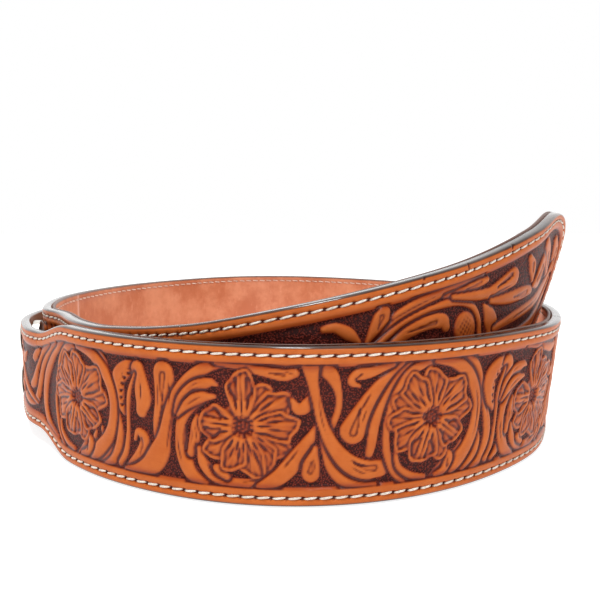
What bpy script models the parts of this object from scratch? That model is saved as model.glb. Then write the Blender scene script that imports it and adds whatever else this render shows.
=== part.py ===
"""Western tooled belt, coiled one and a half turns and standing on its lower edge.

The belt is a long strip of thick leather, tooled on its outer face, with a thin
lining behind it. The buckle end narrows to a plain flap with two snaps. The other
end is a rounded tip that climbs inside the front of the coil and leans out over it.
Lengths are metres, +Z is up, -Y is the front of the coil and +X is its right side.
"""
import math

import bmesh
import bpy
import numpy as np
from mathutils import Matrix, Vector

# Leather: width of the strip and thickness of its two layers
STRAP_WIDTH = 0.0381
FLAP_WIDTH = 0.0292
LEATHER = 0.0029
LINING = 0.0010
GLUE_GAP = 0.0003
EDGE_BEVEL = 0.0005

# The coil, measured over the outer face of its outer turn
COIL_WIDTH = 0.172
COIL_DEPTH = 0.223

# Lengths along the strap
FLAP_TAPER = 0.026
FLAP_TAPER_START = 0.003
FLAP_BESIDE = 0.034
FLAP_FROM_TURN = 0.007
FLAP_CORNER = 0.008
TIP_RUN = 0.2085
TIP_TAPER = 0.024
TIP_ROUND = 2.5
SPLICE_BACK = 0.0437

# Holes for a buckle tongue, counted from the tip
TONGUE_HOLES = 5
TONGUE_HOLE_RADIUS = 0.0022
TONGUE_HOLE_PITCH = 0.0254
FIRST_TONGUE_HOLE = 0.108

# Snaps that close the flap, one above the other
SNAP_SPACING = 0.0150
SNAP_FROM_FOLD = 0.055
FOLD_FROM_LINING = 0.010
CAP_RADIUS = 0.0062
CAP_HEIGHT = 0.0009
SOCKET_RADIUS = 0.0054
SOCKET_HEIGHT = 0.0030
STUD_RADIUS = 0.0048
STUD_HEIGHT = 0.0019
POST_RADIUS = 0.0020
CLEARANCE = 0.0003

# Row of the coil's table, counted from its end, where the strap turns the left corner
CORNER_ROW = 6

# Spacing of the sections of the loft, and what is left off both ends so that they are blunt
END_TRIM = 0.0002
SECTION_STEP = 0.0046
TURN_STEP = 0.0016
TURN_ANGLE = 0.22
END_STEP = 0.0004
END_GROWTH = 0.3
ROUND_SIDES = 20

# Foot of the outer face around the coil, from the start of the lining at the left,
# along the front, the right side and the back to the sharp turn at the left:
# across and deep are shares of the coil's width and depth, lean is in degrees
COIL_ROWS = (
    (-0.360, -0.336, 0.0),
    (-0.285, -0.400, 0.0),
    (-0.186, -0.455, 0.0),
    (-0.076, -0.490, 0.0),
    (0.035, -0.499, 1.5),
    (0.145, -0.482, 2.5),
    (0.250, -0.440, 4.0),
    (0.343, -0.377, 5.5),
    (0.413, -0.309, 7.0),
    (0.459, -0.235, 6.0),
    (0.490, -0.150, 5.0),
    (0.500, -0.056, 4.5),
    (0.485, 0.052, 3.5),
    (0.439, 0.164, 2.5),
    (0.358, 0.276, 1.5),
    (0.244, 0.379, 0.5),
    (0.105, 0.462, 0.0),
    (-0.047, 0.500, 0.0),
    (-0.192, 0.475, 0.0),
    (-0.314, 0.390, 0.0),
    (-0.413, 0.278, 0.0),
    (-0.474, 0.155, 0.0),
    (-0.500, 0.034, 0.0),
    (-0.494, -0.060, 0.0),
    (-0.474, -0.130, 0.0),
    (-0.451, -0.170, 0.0),
    (-0.426, -0.194, 0.0),
    (-0.402, -0.224, 0.0),
    (-0.381, -0.258, 0.0),
    (-0.359, -0.290, 0.0),
)

# The end of the fold between the flap and the lining, in the same shares
NOSE_ROWS = (
    (-0.424, -0.266, 0.0),
    (-0.462, -0.228, 0.0),
    (-0.491, -0.182, 0.0),
)

# The flap beside the left side of the coil: back is a share of FLAP_BESIDE,
# gap is a share of the socket's height
FLAP_ROWS = (
    (0.00, 1.45),
    (0.45, 1.25),
    (1.00, 1.00),
)

# The tip's run inside the front of the coil: along is a share of TIP_RUN, gap and
# rise are shares of the strap's width, lean is in degrees
TIP_ROWS = (
    (0.0243, 0.038, 0.000, 0.0),
    (0.120, 0.084, 0.022, 0.0),
    (0.240, 0.090, 0.084, 0.0),
    (0.408, 0.085, 0.236, 0.0),
    (0.552, 0.055, 0.378, 0.0),
    (0.695, 0.040, 0.525, 1.5),
    (0.815, 0.026, 0.697, 6.5),
    (0.911, -0.010, 0.832, 10.5),
    (1.000, -0.122, 0.905, 15.5),
)


def rounded_half_width(end, width):
    """Half width of the tip at a distance from its end."""
    share = min(1.0, end / TIP_TAPER)
    return width / 2 * (1 - (1 - share) ** TIP_ROUND) ** (1 / TIP_ROUND)


def square_half_width(end, width):
    """Half width of the flap at a distance from its end, with round corners."""
    inside = min(end, FLAP_CORNER)
    return width / 2 - FLAP_CORNER + math.sqrt(FLAP_CORNER ** 2 - (FLAP_CORNER - inside) ** 2)


def natural_spline(stations):
    """Smooth curve through the stations: returns a function of the chord length, and its knots."""
    points = np.asarray(stations, float)
    chords = np.linalg.norm(np.diff(points, axis=0), axis=1)
    knots = np.concatenate(([0.0], np.cumsum(chords)))
    count = len(knots)
    matrix = np.zeros((count, count))
    right = np.zeros_like(points)
    matrix[0, 0] = matrix[-1, -1] = 1.0
    for i in range(1, count - 1):
        matrix[i, i - 1:i + 2] = chords[i - 1], 2 * (chords[i - 1] + chords[i]), chords[i]
        right[i] = 6 * ((points[i + 1] - points[i]) / chords[i] - (points[i] - points[i - 1]) / chords[i - 1])
    bend = np.linalg.solve(matrix, right)

    def curve(at):
        at = np.atleast_1d(np.asarray(at, float))
        i = np.clip(np.searchsorted(knots, at) - 1, 0, count - 2)
        width = chords[i][:, None]
        before = ((knots[i + 1] - at) / chords[i])[:, None]
        after = ((at - knots[i]) / chords[i])[:, None]
        curl = ((before ** 3 - before) * bend[i] + (after ** 3 - after) * bend[i + 1]) * width ** 2 / 6
        return before * points[i] + after * points[i + 1] + curl

    return curve, knots


def steady_curve(knots, values, at):
    """Smooth curve through values that never swings past them, for the rise and the lean."""
    knots = np.asarray(knots, float)
    values = np.asarray(values, float)
    gaps = np.diff(knots)
    slopes = np.diff(values) / gaps
    tangents = np.zeros(len(knots))
    same_way = slopes[:-1] * slopes[1:] > 0
    middle = np.zeros(len(same_way))
    middle[same_way] = 2 * slopes[:-1][same_way] * slopes[1:][same_way] / (slopes[:-1] + slopes[1:])[same_way]
    tangents[1:-1] = middle
    tangents[-1] = slopes[-1]
    i = np.clip(np.searchsorted(knots, at) - 1, 0, len(gaps) - 1)
    t = np.clip((at - knots[i]) / gaps[i], 0, 1)
    start = (1 + 2 * t) * (1 - t) ** 2 * values[i] + t * (1 - t) ** 2 * gaps[i] * tangents[i]
    end = t ** 2 * (3 - 2 * t) * values[i + 1] + t ** 2 * (t - 1) * gaps[i] * tangents[i + 1]
    return start + end


def arc_lengths(points):
    return np.concatenate(([0.0], np.cumsum(np.linalg.norm(np.diff(points, axis=0), axis=1))))


def outward(tangents):
    """Horizontal direction to the right of travel, which is the tooled side."""
    flat = np.stack([tangents[:, 1], -tangents[:, 0]], axis=1)
    return flat / np.linalg.norm(flat, axis=1)[:, None]


class Guide:
    """The coil's outer turn as a fine polyline, to set the flap and the tip beside it."""

    def __init__(self, stations):
        curve, knots = natural_spline(stations)
        self.points = curve(np.linspace(0, knots[-1], 4000))
        self.arc = arc_lengths(self.points)
        self.sides = outward(np.gradient(self.points, axis=0))

    def beside(self, along, distance):
        """Point at a length along the guide, moved outwards by a distance."""
        place = np.array([np.interp(along, self.arc, self.points[:, k]) for k in range(2)])
        side = np.array([np.interp(along, self.arc, self.sides[:, k]) for k in range(2)])
        return place + side * distance


def plan_stations():
    """Stations of the whole strap, from the flap's end to the tip: x, y, rise and lean."""
    coil = [(x * COIL_WIDTH, y * COIL_DEPTH) for x, y, lean in COIL_ROWS]
    guide = Guide(coil)
    turn = guide.arc[np.argmin(np.linalg.norm(guide.points - np.array(coil[-CORNER_ROW]), axis=1))]
    stations = []
    for back, gap in reversed(FLAP_ROWS):
        x, y = guide.beside(turn - FLAP_FROM_TURN - back * FLAP_BESIDE, LEATHER + gap * SOCKET_HEIGHT)
        stations.append((x, y, 0.0, 0.0))
    for x, y, lean in reversed(NOSE_ROWS):
        stations.append((x * COIL_WIDTH, y * COIL_DEPTH, 0.0, lean))
    for (x, y), row in zip(coil, COIL_ROWS):
        stations.append((x, y, 0.0, row[2]))
    behind = LEATHER + GLUE_GAP + LINING
    for along, gap, rise, lean in TIP_ROWS:
        x, y = guide.beside(along * TIP_RUN, -behind - CLEARANCE - gap * STRAP_WIDTH)
        stations.append((x, y, rise * STRAP_WIDTH, lean))
    return stations


class Strap:
    """Where every point of the strap lies in space, by its length, height and depth."""

    def __init__(self):
        stations = np.array(plan_stations())
        curve, knots = natural_spline(stations[:, :2])
        fine = np.linspace(0, knots[-1], 6000)
        plan = curve(fine)
        rise = steady_curve(knots, stations[:, 2], fine)
        lean = np.radians(steady_curve(knots, stations[:, 3], fine))
        thickness = LEATHER + GLUE_GAP + LINING
        height = rise + np.maximum(0, -np.sin(lean)) * thickness
        foot = np.column_stack([plan, height])
        tangents = np.gradient(foot, axis=0)
        tangents /= np.linalg.norm(tangents, axis=1)[:, None]
        level = np.column_stack([outward(tangents), np.zeros(len(foot))])
        upright = np.cross(level, tangents)
        self.foot = foot
        self.arc = arc_lengths(foot)
        self.tangents = tangents
        self.up = np.cos(lean)[:, None] * upright + np.sin(lean)[:, None] * level
        self.side = np.cos(lean)[:, None] * level - np.sin(lean)[:, None] * upright
        self.length = self.arc[-1]
        lining_row = len(FLAP_ROWS) + len(NOSE_ROWS)
        self.lining_start = float(np.interp(knots[lining_row], fine, self.arc))
        corner = lining_row + len(COIL_ROWS) - CORNER_ROW
        self.turn = float(np.interp(knots[corner], fine, self.arc))

    def frame(self, along):
        """Foot, up and outward directions at a length along the strap."""
        read = lambda rows: Vector([float(np.interp(along, self.arc, rows[:, k])) for k in range(3)])
        return read(self.foot), read(self.up).normalized(), read(self.side).normalized()

    def point(self, along, height, depth):
        foot, up, side = self.frame(along)
        return foot + up * height - side * depth

    def half_width(self, along):
        """Half the strap's width, with the narrow flap and the rounded tip."""
        near_flap = min(1.0, max(0.0, (self.lining_start + FLAP_TAPER_START - along) / FLAP_TAPER))
        ease = near_flap * near_flap * (3 - 2 * near_flap)
        width = STRAP_WIDTH + (FLAP_WIDTH - STRAP_WIDTH) * ease
        tip = rounded_half_width(self.length - along, width)
        flap = square_half_width(along, width)
        return min(tip, flap)

    def section_places(self, start, end):
        """Lengths of the loft's sections, closer where the strap turns and at round ends.

        All layers share one set, so that faces lying back to back stay parallel.
        """
        turning = np.linalg.norm(np.gradient(self.tangents, self.arc, axis=0), axis=1)
        wish = np.clip(TURN_ANGLE / np.maximum(turning, 1e-6), TURN_STEP, SECTION_STEP)
        end_distance = np.minimum(self.arc, self.length - self.arc)
        wish = np.minimum(wish, END_STEP + end_distance * END_GROWTH)
        density = np.concatenate(([0.0], np.cumsum(np.diff(self.arc) / wish[1:])))
        count = int(round(density[-1]))
        places = np.interp(np.linspace(0, density[-1], count + 1), density, self.arc)
        inside = places[(places > start + END_STEP) & (places < end - END_STEP)]
        return [start, *inside, end]


def make_material(name, colour, roughness, metallic):
    material = bpy.data.materials.new(name)
    material.use_nodes = True
    shader = material.node_tree.nodes["Principled BSDF"]
    shader.inputs["Base Color"].default_value = (*colour, 1.0)
    shader.inputs["Roughness"].default_value = roughness
    shader.inputs["Metallic"].default_value = metallic
    return material


def add_object(name, mesh, material, collection, parent):
    mesh.materials.append(material)
    piece = bpy.data.objects.new(name, mesh)
    collection.objects.link(piece)
    piece.parent = parent
    return piece


def loft(name, rings):
    """Closed mesh through rings of as many points each, with a face on both ends."""
    work = bmesh.new()
    rows = [[work.verts.new(point) for point in ring] for ring in rings]
    count = len(rings[0])
    for first, second in zip(rows, rows[1:]):
        for k in range(count):
            after = (k + 1) % count
            work.faces.new((first[k], first[after], second[after], second[k]))
    work.faces.new(tuple(reversed(rows[0])))
    work.faces.new(tuple(rows[-1]))
    bmesh.ops.recalc_face_normals(work, faces=work.faces)
    mesh = bpy.data.meshes.new(name)
    work.to_mesh(mesh)
    work.free()
    return mesh


def layer_rings(strap, start, end, face, back, bevel_face, bevel_back):
    """Rings of a leather layer between two depths, its long edges bevelled."""
    rings = []
    middle = STRAP_WIDTH / 2
    for along in strap.section_places(start, end):
        foot, up, side = strap.frame(along)
        half = strap.half_width(along)
        low = middle - half
        high = middle + half
        cut_face = min(bevel_face, half / 2)
        cut_back = min(bevel_back, half / 2)
        outline = [(low + cut_face, face), (middle, face), (high - cut_face, face)]
        if bevel_face:
            outline.append((high, face + cut_face))
        outline.append((high, back - cut_back))
        if bevel_back:
            outline.append((high - cut_back, back))
        outline.append((middle, back))
        if bevel_back:
            outline.append((low + cut_back, back))
        outline.append((low, back - cut_back))
        if bevel_face:
            outline.append((low, face + cut_face))
        rings.append([foot + up * height - side * depth for height, depth in outline])
    return rings


def placement(strap, along, height, depth):
    """Matrix whose Z points out of the tooled face at a place on the strap."""
    foot, up, side = strap.frame(along)
    across = up.cross(side)
    turn = Matrix((across, up, side)).transposed().to_4x4()
    return Matrix.Translation(foot + up * height - side * depth) @ turn


def add_cutters(strap, places, radius, reach, collection, parent, name):
    """Round cutters through the leather, joined into one hidden object."""
    work = bmesh.new()
    for along, height in places:
        matrix = placement(strap, along, height, LEATHER)
        bmesh.ops.create_cone(work, cap_ends=True, segments=ROUND_SIDES, radius1=radius,
                              radius2=radius, depth=reach * 2, matrix=matrix)
    mesh = bpy.data.meshes.new(name)
    work.to_mesh(mesh)
    work.free()
    cutter = bpy.data.objects.new(name, mesh)
    collection.objects.link(cutter)
    cutter.parent = parent
    cutter.hide_render = True
    cutter.display_type = "WIRE"
    return cutter


def cut_with(piece, cutter):
    cut = piece.modifiers.new(cutter.name, "BOOLEAN")
    cut.operation = "DIFFERENCE"
    cut.solver = "EXACT"
    cut.object = cutter


def turned_piece(name, profile, matrix, material, collection, parent):
    """Round piece from a profile of (radius, height) points, turned about its Z axis."""
    work = bmesh.new()
    points = [work.verts.new((radius, 0.0, height)) for radius, height in profile]
    for first, second in zip(points, points[1:]):
        work.edges.new((first, second))
    mesh = bpy.data.meshes.new(name)
    work.to_mesh(mesh)
    work.free()
    piece = add_object(name, mesh, material, collection, parent)
    turn = piece.modifiers.new("turn", "SCREW")
    turn.steps = turn.render_steps = ROUND_SIDES
    turn.use_merge_vertices = True
    turn.merge_threshold = 0.00001
    piece.matrix_local = matrix
    return piece


def snap_heights():
    return {"upper": STRAP_WIDTH / 2 + SNAP_SPACING / 2, "lower": STRAP_WIDTH / 2 - SNAP_SPACING / 2}


def build():
    for old in list(bpy.data.objects):
        bpy.data.objects.remove(old)
    parts = bpy.data.collections.new("western_tooled_belt")
    cutters = bpy.data.collections.new("cutters")
    bpy.context.scene.collection.children.link(parts)
    bpy.context.scene.collection.children.link(cutters)

    strap = Strap()
    lining_end = strap.turn - SPLICE_BACK
    tip_end = strap.length - END_TRIM
    root = bpy.data.objects.new("belt_origin", None)
    parts.objects.link(root)

    tooled = make_material("tooled_leather", (0.52, 0.17, 0.05), 0.38, 0.0)
    smooth = make_material("lining_leather", (0.48, 0.15, 0.07), 0.55, 0.0)
    nickel = make_material("nickel", (0.72, 0.70, 0.66), 0.25, 1.0)

    rings = layer_rings(strap, END_TRIM, tip_end, 0.0, LEATHER, EDGE_BEVEL, 0.0)
    tooled_strap = add_object("tooled_strap", loft("tooled_strap", rings), tooled, parts, root)
    face = LEATHER + GLUE_GAP
    back = face + LINING
    pieces = {
        "body_lining": (strap.lining_start, lining_end - CLEARANCE / 2),
        "tip_lining": (lining_end + CLEARANCE / 2, tip_end),
    }
    linings = {}
    for name, (start, end) in pieces.items():
        rings = layer_rings(strap, start, end, face, back, 0.0, EDGE_BEVEL)
        linings[name] = add_object(name, loft(name, rings), smooth, parts, root)

    middle = STRAP_WIDTH / 2
    tongue_places = [(strap.length - FIRST_TONGUE_HOLE - k * TONGUE_HOLE_PITCH, middle)
                     for k in range(TONGUE_HOLES)]
    tongue_cutter = add_cutters(strap, tongue_places, TONGUE_HOLE_RADIUS, LEATHER * 2,
                                cutters, root, "tongue_hole_cutter")
    cut_with(tooled_strap, tongue_cutter)
    cut_with(linings["tip_lining"], tongue_cutter)

    fold = strap.lining_start - FOLD_FROM_LINING
    flap_at = fold - SNAP_FROM_FOLD
    stud_at = fold + SNAP_FROM_FOLD
    snap_places = [(flap_at, height) for height in snap_heights().values()]
    snap_cutter = add_cutters(strap, snap_places, POST_RADIUS + CLEARANCE, LEATHER * 2,
                              cutters, root, "snap_hole_cutter")
    cut_with(tooled_strap, snap_cutter)
    stud_places = [(stud_at, height) for height in snap_heights().values()]
    stud_cutter = add_cutters(strap, stud_places, POST_RADIUS + CLEARANCE, LINING + GLUE_GAP + CLEARANCE,
                              cutters, root, "stud_hole_cutter")
    cut_with(linings["body_lining"], stud_cutter)

    for place, height in snap_heights().items():
        seat = CLEARANCE
        through = -LEATHER - CLEARANCE
        profile = (
            (0.0, seat + CAP_HEIGHT),
            (CAP_RADIUS * 0.55, seat + CAP_HEIGHT * 0.88),
            (CAP_RADIUS * 0.88, seat + CAP_HEIGHT * 0.55),
            (CAP_RADIUS, seat),
            (POST_RADIUS, seat),
            (POST_RADIUS, through),
            (SOCKET_RADIUS, through),
            (SOCKET_RADIUS, through - SOCKET_HEIGHT * 0.75),
            (SOCKET_RADIUS * 0.8, through - SOCKET_HEIGHT),
            (0.0, through - SOCKET_HEIGHT),
        )
        matrix = placement(strap, flap_at, height, 0.0)
        turned_piece("flap_snap_" + place, profile, matrix, nickel, parts, root)
        seat = -back - CLEARANCE
        profile = (
            (0.0, -face),
            (POST_RADIUS, -face),
            (POST_RADIUS, seat),
            (STUD_RADIUS, seat),
            (STUD_RADIUS, seat - STUD_HEIGHT * 0.3),
            (STUD_RADIUS * 0.55, seat - STUD_HEIGHT * 0.4),
            (STUD_RADIUS * 0.62, seat - STUD_HEIGHT * 0.85),
            (STUD_RADIUS * 0.45, seat - STUD_HEIGHT),
            (0.0, seat - STUD_HEIGHT),
        )
        matrix = placement(strap, stud_at, height, 0.0)
        turned_piece("body_stud_" + place, profile, matrix, nickel, parts, root)

    low, high = box_of(parts)
    root.location = (-(low.x + high.x) / 2, -(low.y + high.y) / 2, -low.z)


def box_of(collection):
    """Corners of everything in the collection, with its modifiers on."""
    graph = bpy.context.evaluated_depsgraph_get()
    corners = []
    for piece in collection.objects:
        if piece.type == "MESH":
            solid = piece.evaluated_get(graph)
            corners += [solid.matrix_world @ vertex.co for vertex in solid.data.vertices]
    low = Vector([min(corner[k] for corner in corners) for k in range(3)])
    high = Vector([max(corner[k] for corner in corners) for k in range(3)])
    return low, high


build()
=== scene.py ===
# %% [markdown]
# A western belt is one long strip of thick vegetable-tanned leather. A flower pattern is
# cut and stamped into its face, it is antiqued so that colour stays in every hollow, and
# a thin smooth lining is stitched behind it. Here it stands coiled on its lower edge.
# The frame is loaded first. It holds the plain solids, and every piece below lies on them.

import math

import bpy
import numpy as np
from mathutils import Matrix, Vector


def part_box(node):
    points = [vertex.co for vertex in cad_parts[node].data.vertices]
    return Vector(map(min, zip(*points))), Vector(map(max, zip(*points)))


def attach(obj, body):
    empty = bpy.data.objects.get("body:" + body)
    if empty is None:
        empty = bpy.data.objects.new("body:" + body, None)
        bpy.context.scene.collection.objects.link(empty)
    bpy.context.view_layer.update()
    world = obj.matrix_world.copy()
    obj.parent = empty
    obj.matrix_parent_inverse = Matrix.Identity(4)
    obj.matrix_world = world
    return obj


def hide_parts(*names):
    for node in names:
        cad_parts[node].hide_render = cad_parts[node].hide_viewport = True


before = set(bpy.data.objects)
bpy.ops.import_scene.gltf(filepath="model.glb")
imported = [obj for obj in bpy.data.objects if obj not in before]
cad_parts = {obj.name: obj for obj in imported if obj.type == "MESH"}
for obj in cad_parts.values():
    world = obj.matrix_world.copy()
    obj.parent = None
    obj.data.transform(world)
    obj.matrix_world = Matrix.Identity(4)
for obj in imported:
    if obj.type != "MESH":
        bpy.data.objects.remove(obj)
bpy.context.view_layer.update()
MM = 0.001
print("nodes:", sorted(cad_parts))

# %% [markdown]
# The strap runs in one line from the flap at the left, round the coil, to the tip at the
# right. That line is the same as in the solids: a smooth curve through a short table of
# places, as shares of the coil's width and depth. A curve object with a bevel could carry
# a strap too, but it can't hold a tooled face, so the line is kept as plain arrays.

# %% Sizes of the strap and the line that it follows
STRAP_WIDTH = 0.0381
FLAP_WIDTH = 0.0292
LEATHER = 0.0029
LINING = 0.0010
GLUE_GAP = 0.0003
CLEARANCE = 0.0003
COIL_WIDTH = 0.172
COIL_DEPTH = 0.223
FLAP_TAPER = 0.026
FLAP_TAPER_START = 0.003
FLAP_BESIDE = 0.034
FLAP_CORNER = 0.008
FLAP_FROM_TURN = 0.007
SOCKET_HEIGHT = 0.0030
TIP_RUN = 0.2085
TIP_TAPER = 0.024
TIP_ROUND = 2.5
SPLICE_BACK = 0.0437
EDGE_BEVEL = 0.0005
GUIDE_STEPS = 4000
STRAP_STEPS = 6000

# The coil: x and y as shares of its width and depth, and the strap's lean in degrees
COIL_ROWS = (
    (-0.360, -0.336, 0.0),
    (-0.285, -0.400, 0.0),
    (-0.186, -0.455, 0.0),
    (-0.076, -0.490, 0.0),
    (0.035, -0.499, 1.5),
    (0.145, -0.482, 2.5),
    (0.250, -0.440, 4.0),
    (0.343, -0.377, 5.5),
    (0.413, -0.309, 7.0),
    (0.459, -0.235, 6.0),
    (0.490, -0.150, 5.0),
    (0.500, -0.056, 4.5),
    (0.485, 0.052, 3.5),
    (0.439, 0.164, 2.5),
    (0.358, 0.276, 1.5),
    (0.244, 0.379, 0.5),
    (0.105, 0.462, 0.0),
    (-0.047, 0.500, 0.0),
    (-0.192, 0.475, 0.0),
    (-0.314, 0.390, 0.0),
    (-0.413, 0.278, 0.0),
    (-0.474, 0.155, 0.0),
    (-0.500, 0.034, 0.0),
    (-0.494, -0.060, 0.0),
    (-0.474, -0.130, 0.0),
    (-0.451, -0.170, 0.0),
    (-0.426, -0.194, 0.0),
    (-0.402, -0.224, 0.0),
    (-0.381, -0.258, 0.0),
    (-0.359, -0.290, 0.0),
)
CORNER_ROW = len(COIL_ROWS) - 6
# The fold: x and y as above
NOSE_ROWS = ((-0.424, -0.266), (-0.462, -0.228), (-0.491, -0.182))
# The flap: how far back it lies along the coil and how far off it, as shares of
# FLAP_BESIDE and of the snap socket's height
FLAP_ROWS = ((0.00, 1.45), (0.45, 1.25), (1.00, 1.00))
# The tip's run: how far along it, how far inside the coil and how far up, as shares of
# TIP_RUN, of the strap's width and of that width again, and the lean in degrees
TIP_ROWS = (
    (0.0243, 0.038, 0.000, 0.0),
    (0.120, 0.084, 0.022, 0.0),
    (0.240, 0.090, 0.084, 0.0),
    (0.408, 0.085, 0.236, 0.0),
    (0.552, 0.055, 0.378, 0.0),
    (0.695, 0.040, 0.525, 1.5),
    (0.815, 0.026, 0.697, 6.5),
    (0.911, -0.010, 0.832, 10.5),
    (1.000, -0.122, 0.905, 15.5),
)
print(len(COIL_ROWS) + len(NOSE_ROWS) + len(FLAP_ROWS) + len(TIP_ROWS), "places on the line")

# %% [markdown]
# A smooth line needs only a few places if a spline joins them. The plan of the strap takes
# the spline that a thin strip of wood would follow, because leather bends as evenly. Its
# rise and its lean take a steadier curve, which never swings past the values in the rows.

# %% Curves through the rows
def natural_spline(stations):
    """Smooth curve through the stations: a function of the chord length, and its knots."""
    points = np.asarray(stations, float)
    chords = np.linalg.norm(np.diff(points, axis=0), axis=1)
    knots = np.concatenate(([0.0], np.cumsum(chords)))
    count = len(knots)
    matrix = np.zeros((count, count))
    right = np.zeros_like(points)
    matrix[0, 0] = matrix[-1, -1] = 1.0
    for i in range(1, count - 1):
        matrix[i, i - 1:i + 2] = chords[i - 1], 2 * (chords[i - 1] + chords[i]), chords[i]
        ahead = (points[i + 1] - points[i]) / chords[i]
        behind = (points[i] - points[i - 1]) / chords[i - 1]
        right[i] = 6 * (ahead - behind)
    bend = np.linalg.solve(matrix, right)

    def curve(at):
        i = np.clip(np.searchsorted(knots, at) - 1, 0, count - 2)
        width = chords[i][:, None]
        before = ((knots[i + 1] - at) / chords[i])[:, None]
        after = ((at - knots[i]) / chords[i])[:, None]
        curl = ((before ** 3 - before) * bend[i] + (after ** 3 - after) * bend[i + 1]) * width ** 2 / 6
        return before * points[i] + after * points[i + 1] + curl

    return curve, knots


def steady_curve(knots, values, at):
    """Smooth curve through values that never swings past them."""
    gaps = np.diff(knots)
    slopes = np.diff(values) / gaps
    before, after = slopes[:-1], slopes[1:]
    same_way = before * after > 0
    tangents = np.zeros(len(knots))
    tangents[1:-1][same_way] = 2 * before[same_way] * after[same_way] / (before + after)[same_way]
    tangents[-1] = slopes[-1]
    i = np.clip(np.searchsorted(knots, at) - 1, 0, len(gaps) - 1)
    t = np.clip((at - knots[i]) / gaps[i], 0, 1)
    start = (1 + 2 * t) * (1 - t) ** 2 * values[i] + t * (1 - t) ** 2 * gaps[i] * tangents[i]
    end = t ** 2 * (3 - 2 * t) * values[i + 1] + t ** 2 * (t - 1) * gaps[i] * tangents[i + 1]
    return start + end


def eased(share):
    """A share from 0 to 1 that starts and ends gently."""
    return share * share * (3 - 2 * share)


def arc_lengths(points):
    return np.concatenate(([0.0], np.cumsum(np.linalg.norm(np.diff(points, axis=0), axis=1))))


def outward(tangents):
    """Level direction to the right of travel, which is the tooled side."""
    flat = np.stack([tangents[:, 1], -tangents[:, 0]], axis=1)
    return flat / np.linalg.norm(flat, axis=1)[:, None]


def strap_stations():
    """Stations of the whole strap, from the flap's end to the tip: x, y, rise and lean."""
    coil = [(x * COIL_WIDTH, y * COIL_DEPTH) for x, y, lean in COIL_ROWS]
    curve, knots = natural_spline(coil)
    guide = curve(np.linspace(0, knots[-1], GUIDE_STEPS))
    arc = arc_lengths(guide)
    sides = outward(np.gradient(guide, axis=0))
    turn = arc[np.argmin(np.linalg.norm(guide - np.array(coil[CORNER_ROW]), axis=1))]

    def beside(along, distance):
        return tuple(np.interp(along, arc, guide[:, k]) + np.interp(along, arc, sides[:, k]) * distance
                     for k in range(2))

    stations = []
    for back, gap in reversed(FLAP_ROWS):
        place = beside(turn - FLAP_FROM_TURN - back * FLAP_BESIDE, LEATHER + gap * SOCKET_HEIGHT)
        stations.append((*place, 0.0, 0.0))
    for x, y in reversed(NOSE_ROWS):
        stations.append((x * COIL_WIDTH, y * COIL_DEPTH, 0.0, 0.0))
    for place, row in zip(coil, COIL_ROWS):
        stations.append((*place, 0.0, row[2]))
    behind = LEATHER + GLUE_GAP + LINING + CLEARANCE
    for along, gap, rise, lean in TIP_ROWS:
        place = beside(along * TIP_RUN, -behind - gap * STRAP_WIDTH)
        stations.append((*place, rise * STRAP_WIDTH, lean))
    return np.array(stations)


print(len(strap_stations()), "stations from the flap to the tip")

# %% [markdown]
# Everything on the belt is drawn flat, as on a bench: a length along the leather, a height
# across it and a depth into it. One class carries such places onto the coiled strap. The
# tooling, the stitches and the holes then bend with the leather, and none of them needs a
# Curve modifier. The class is moved to where the solid strap stands, and prints by how much.

# %% The strap in space
class Strap:
    """Turns flat leather places (along, height, depth) into places in space, in metres."""

    def __init__(self):
        stations = strap_stations()
        curve, knots = natural_spline(stations[:, :2])
        fine = np.linspace(0, knots[-1], STRAP_STEPS)
        rise = steady_curve(knots, stations[:, 2], fine)
        lean = np.radians(steady_curve(knots, stations[:, 3], fine))
        self.foot = np.column_stack([curve(fine), rise])
        tangents = np.gradient(self.foot, axis=0)
        tangents /= np.linalg.norm(tangents, axis=1)[:, None]
        level = np.column_stack([outward(tangents), np.zeros(len(fine))])
        upright = np.cross(level, tangents)
        self.up = np.cos(lean)[:, None] * upright + np.sin(lean)[:, None] * level
        self.side = np.cos(lean)[:, None] * level - np.sin(lean)[:, None] * upright
        self.arc = arc_lengths(self.foot)
        self.length = self.arc[-1]
        lining_row = len(FLAP_ROWS) + len(NOSE_ROWS)
        self.lining_start = float(np.interp(knots[lining_row], fine, self.arc))
        self.splice = float(np.interp(knots[lining_row + CORNER_ROW], fine, self.arc)) - SPLICE_BACK
        self.shift = np.zeros(3)

    def half_width(self, along):
        """Half the width: a narrow flap with round corners, and a rounded tip."""
        near_flap = np.clip((self.lining_start + FLAP_TAPER_START - along) / FLAP_TAPER, 0, 1)
        width = STRAP_WIDTH + (FLAP_WIDTH - STRAP_WIDTH) * eased(near_flap)
        share = np.clip((self.length - along) / TIP_TAPER, 0, 1)
        tip = width / 2 * (1 - (1 - share) ** TIP_ROUND) ** (1 / TIP_ROUND)
        inside = np.clip(along, 0, FLAP_CORNER)
        flap = width / 2 - FLAP_CORNER + np.sqrt(FLAP_CORNER ** 2 - (FLAP_CORNER - inside) ** 2)
        return np.minimum(tip, flap)

    def read(self, rows, along):
        return np.stack([np.interp(along, self.arc, rows[:, k]) for k in range(3)], axis=-1)

    def place(self, along, height, depth):
        foot, up, side = (self.read(rows, along) for rows in (self.foot, self.up, self.side))
        return foot + up * height[..., None] - side * depth[..., None] + self.shift


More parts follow.
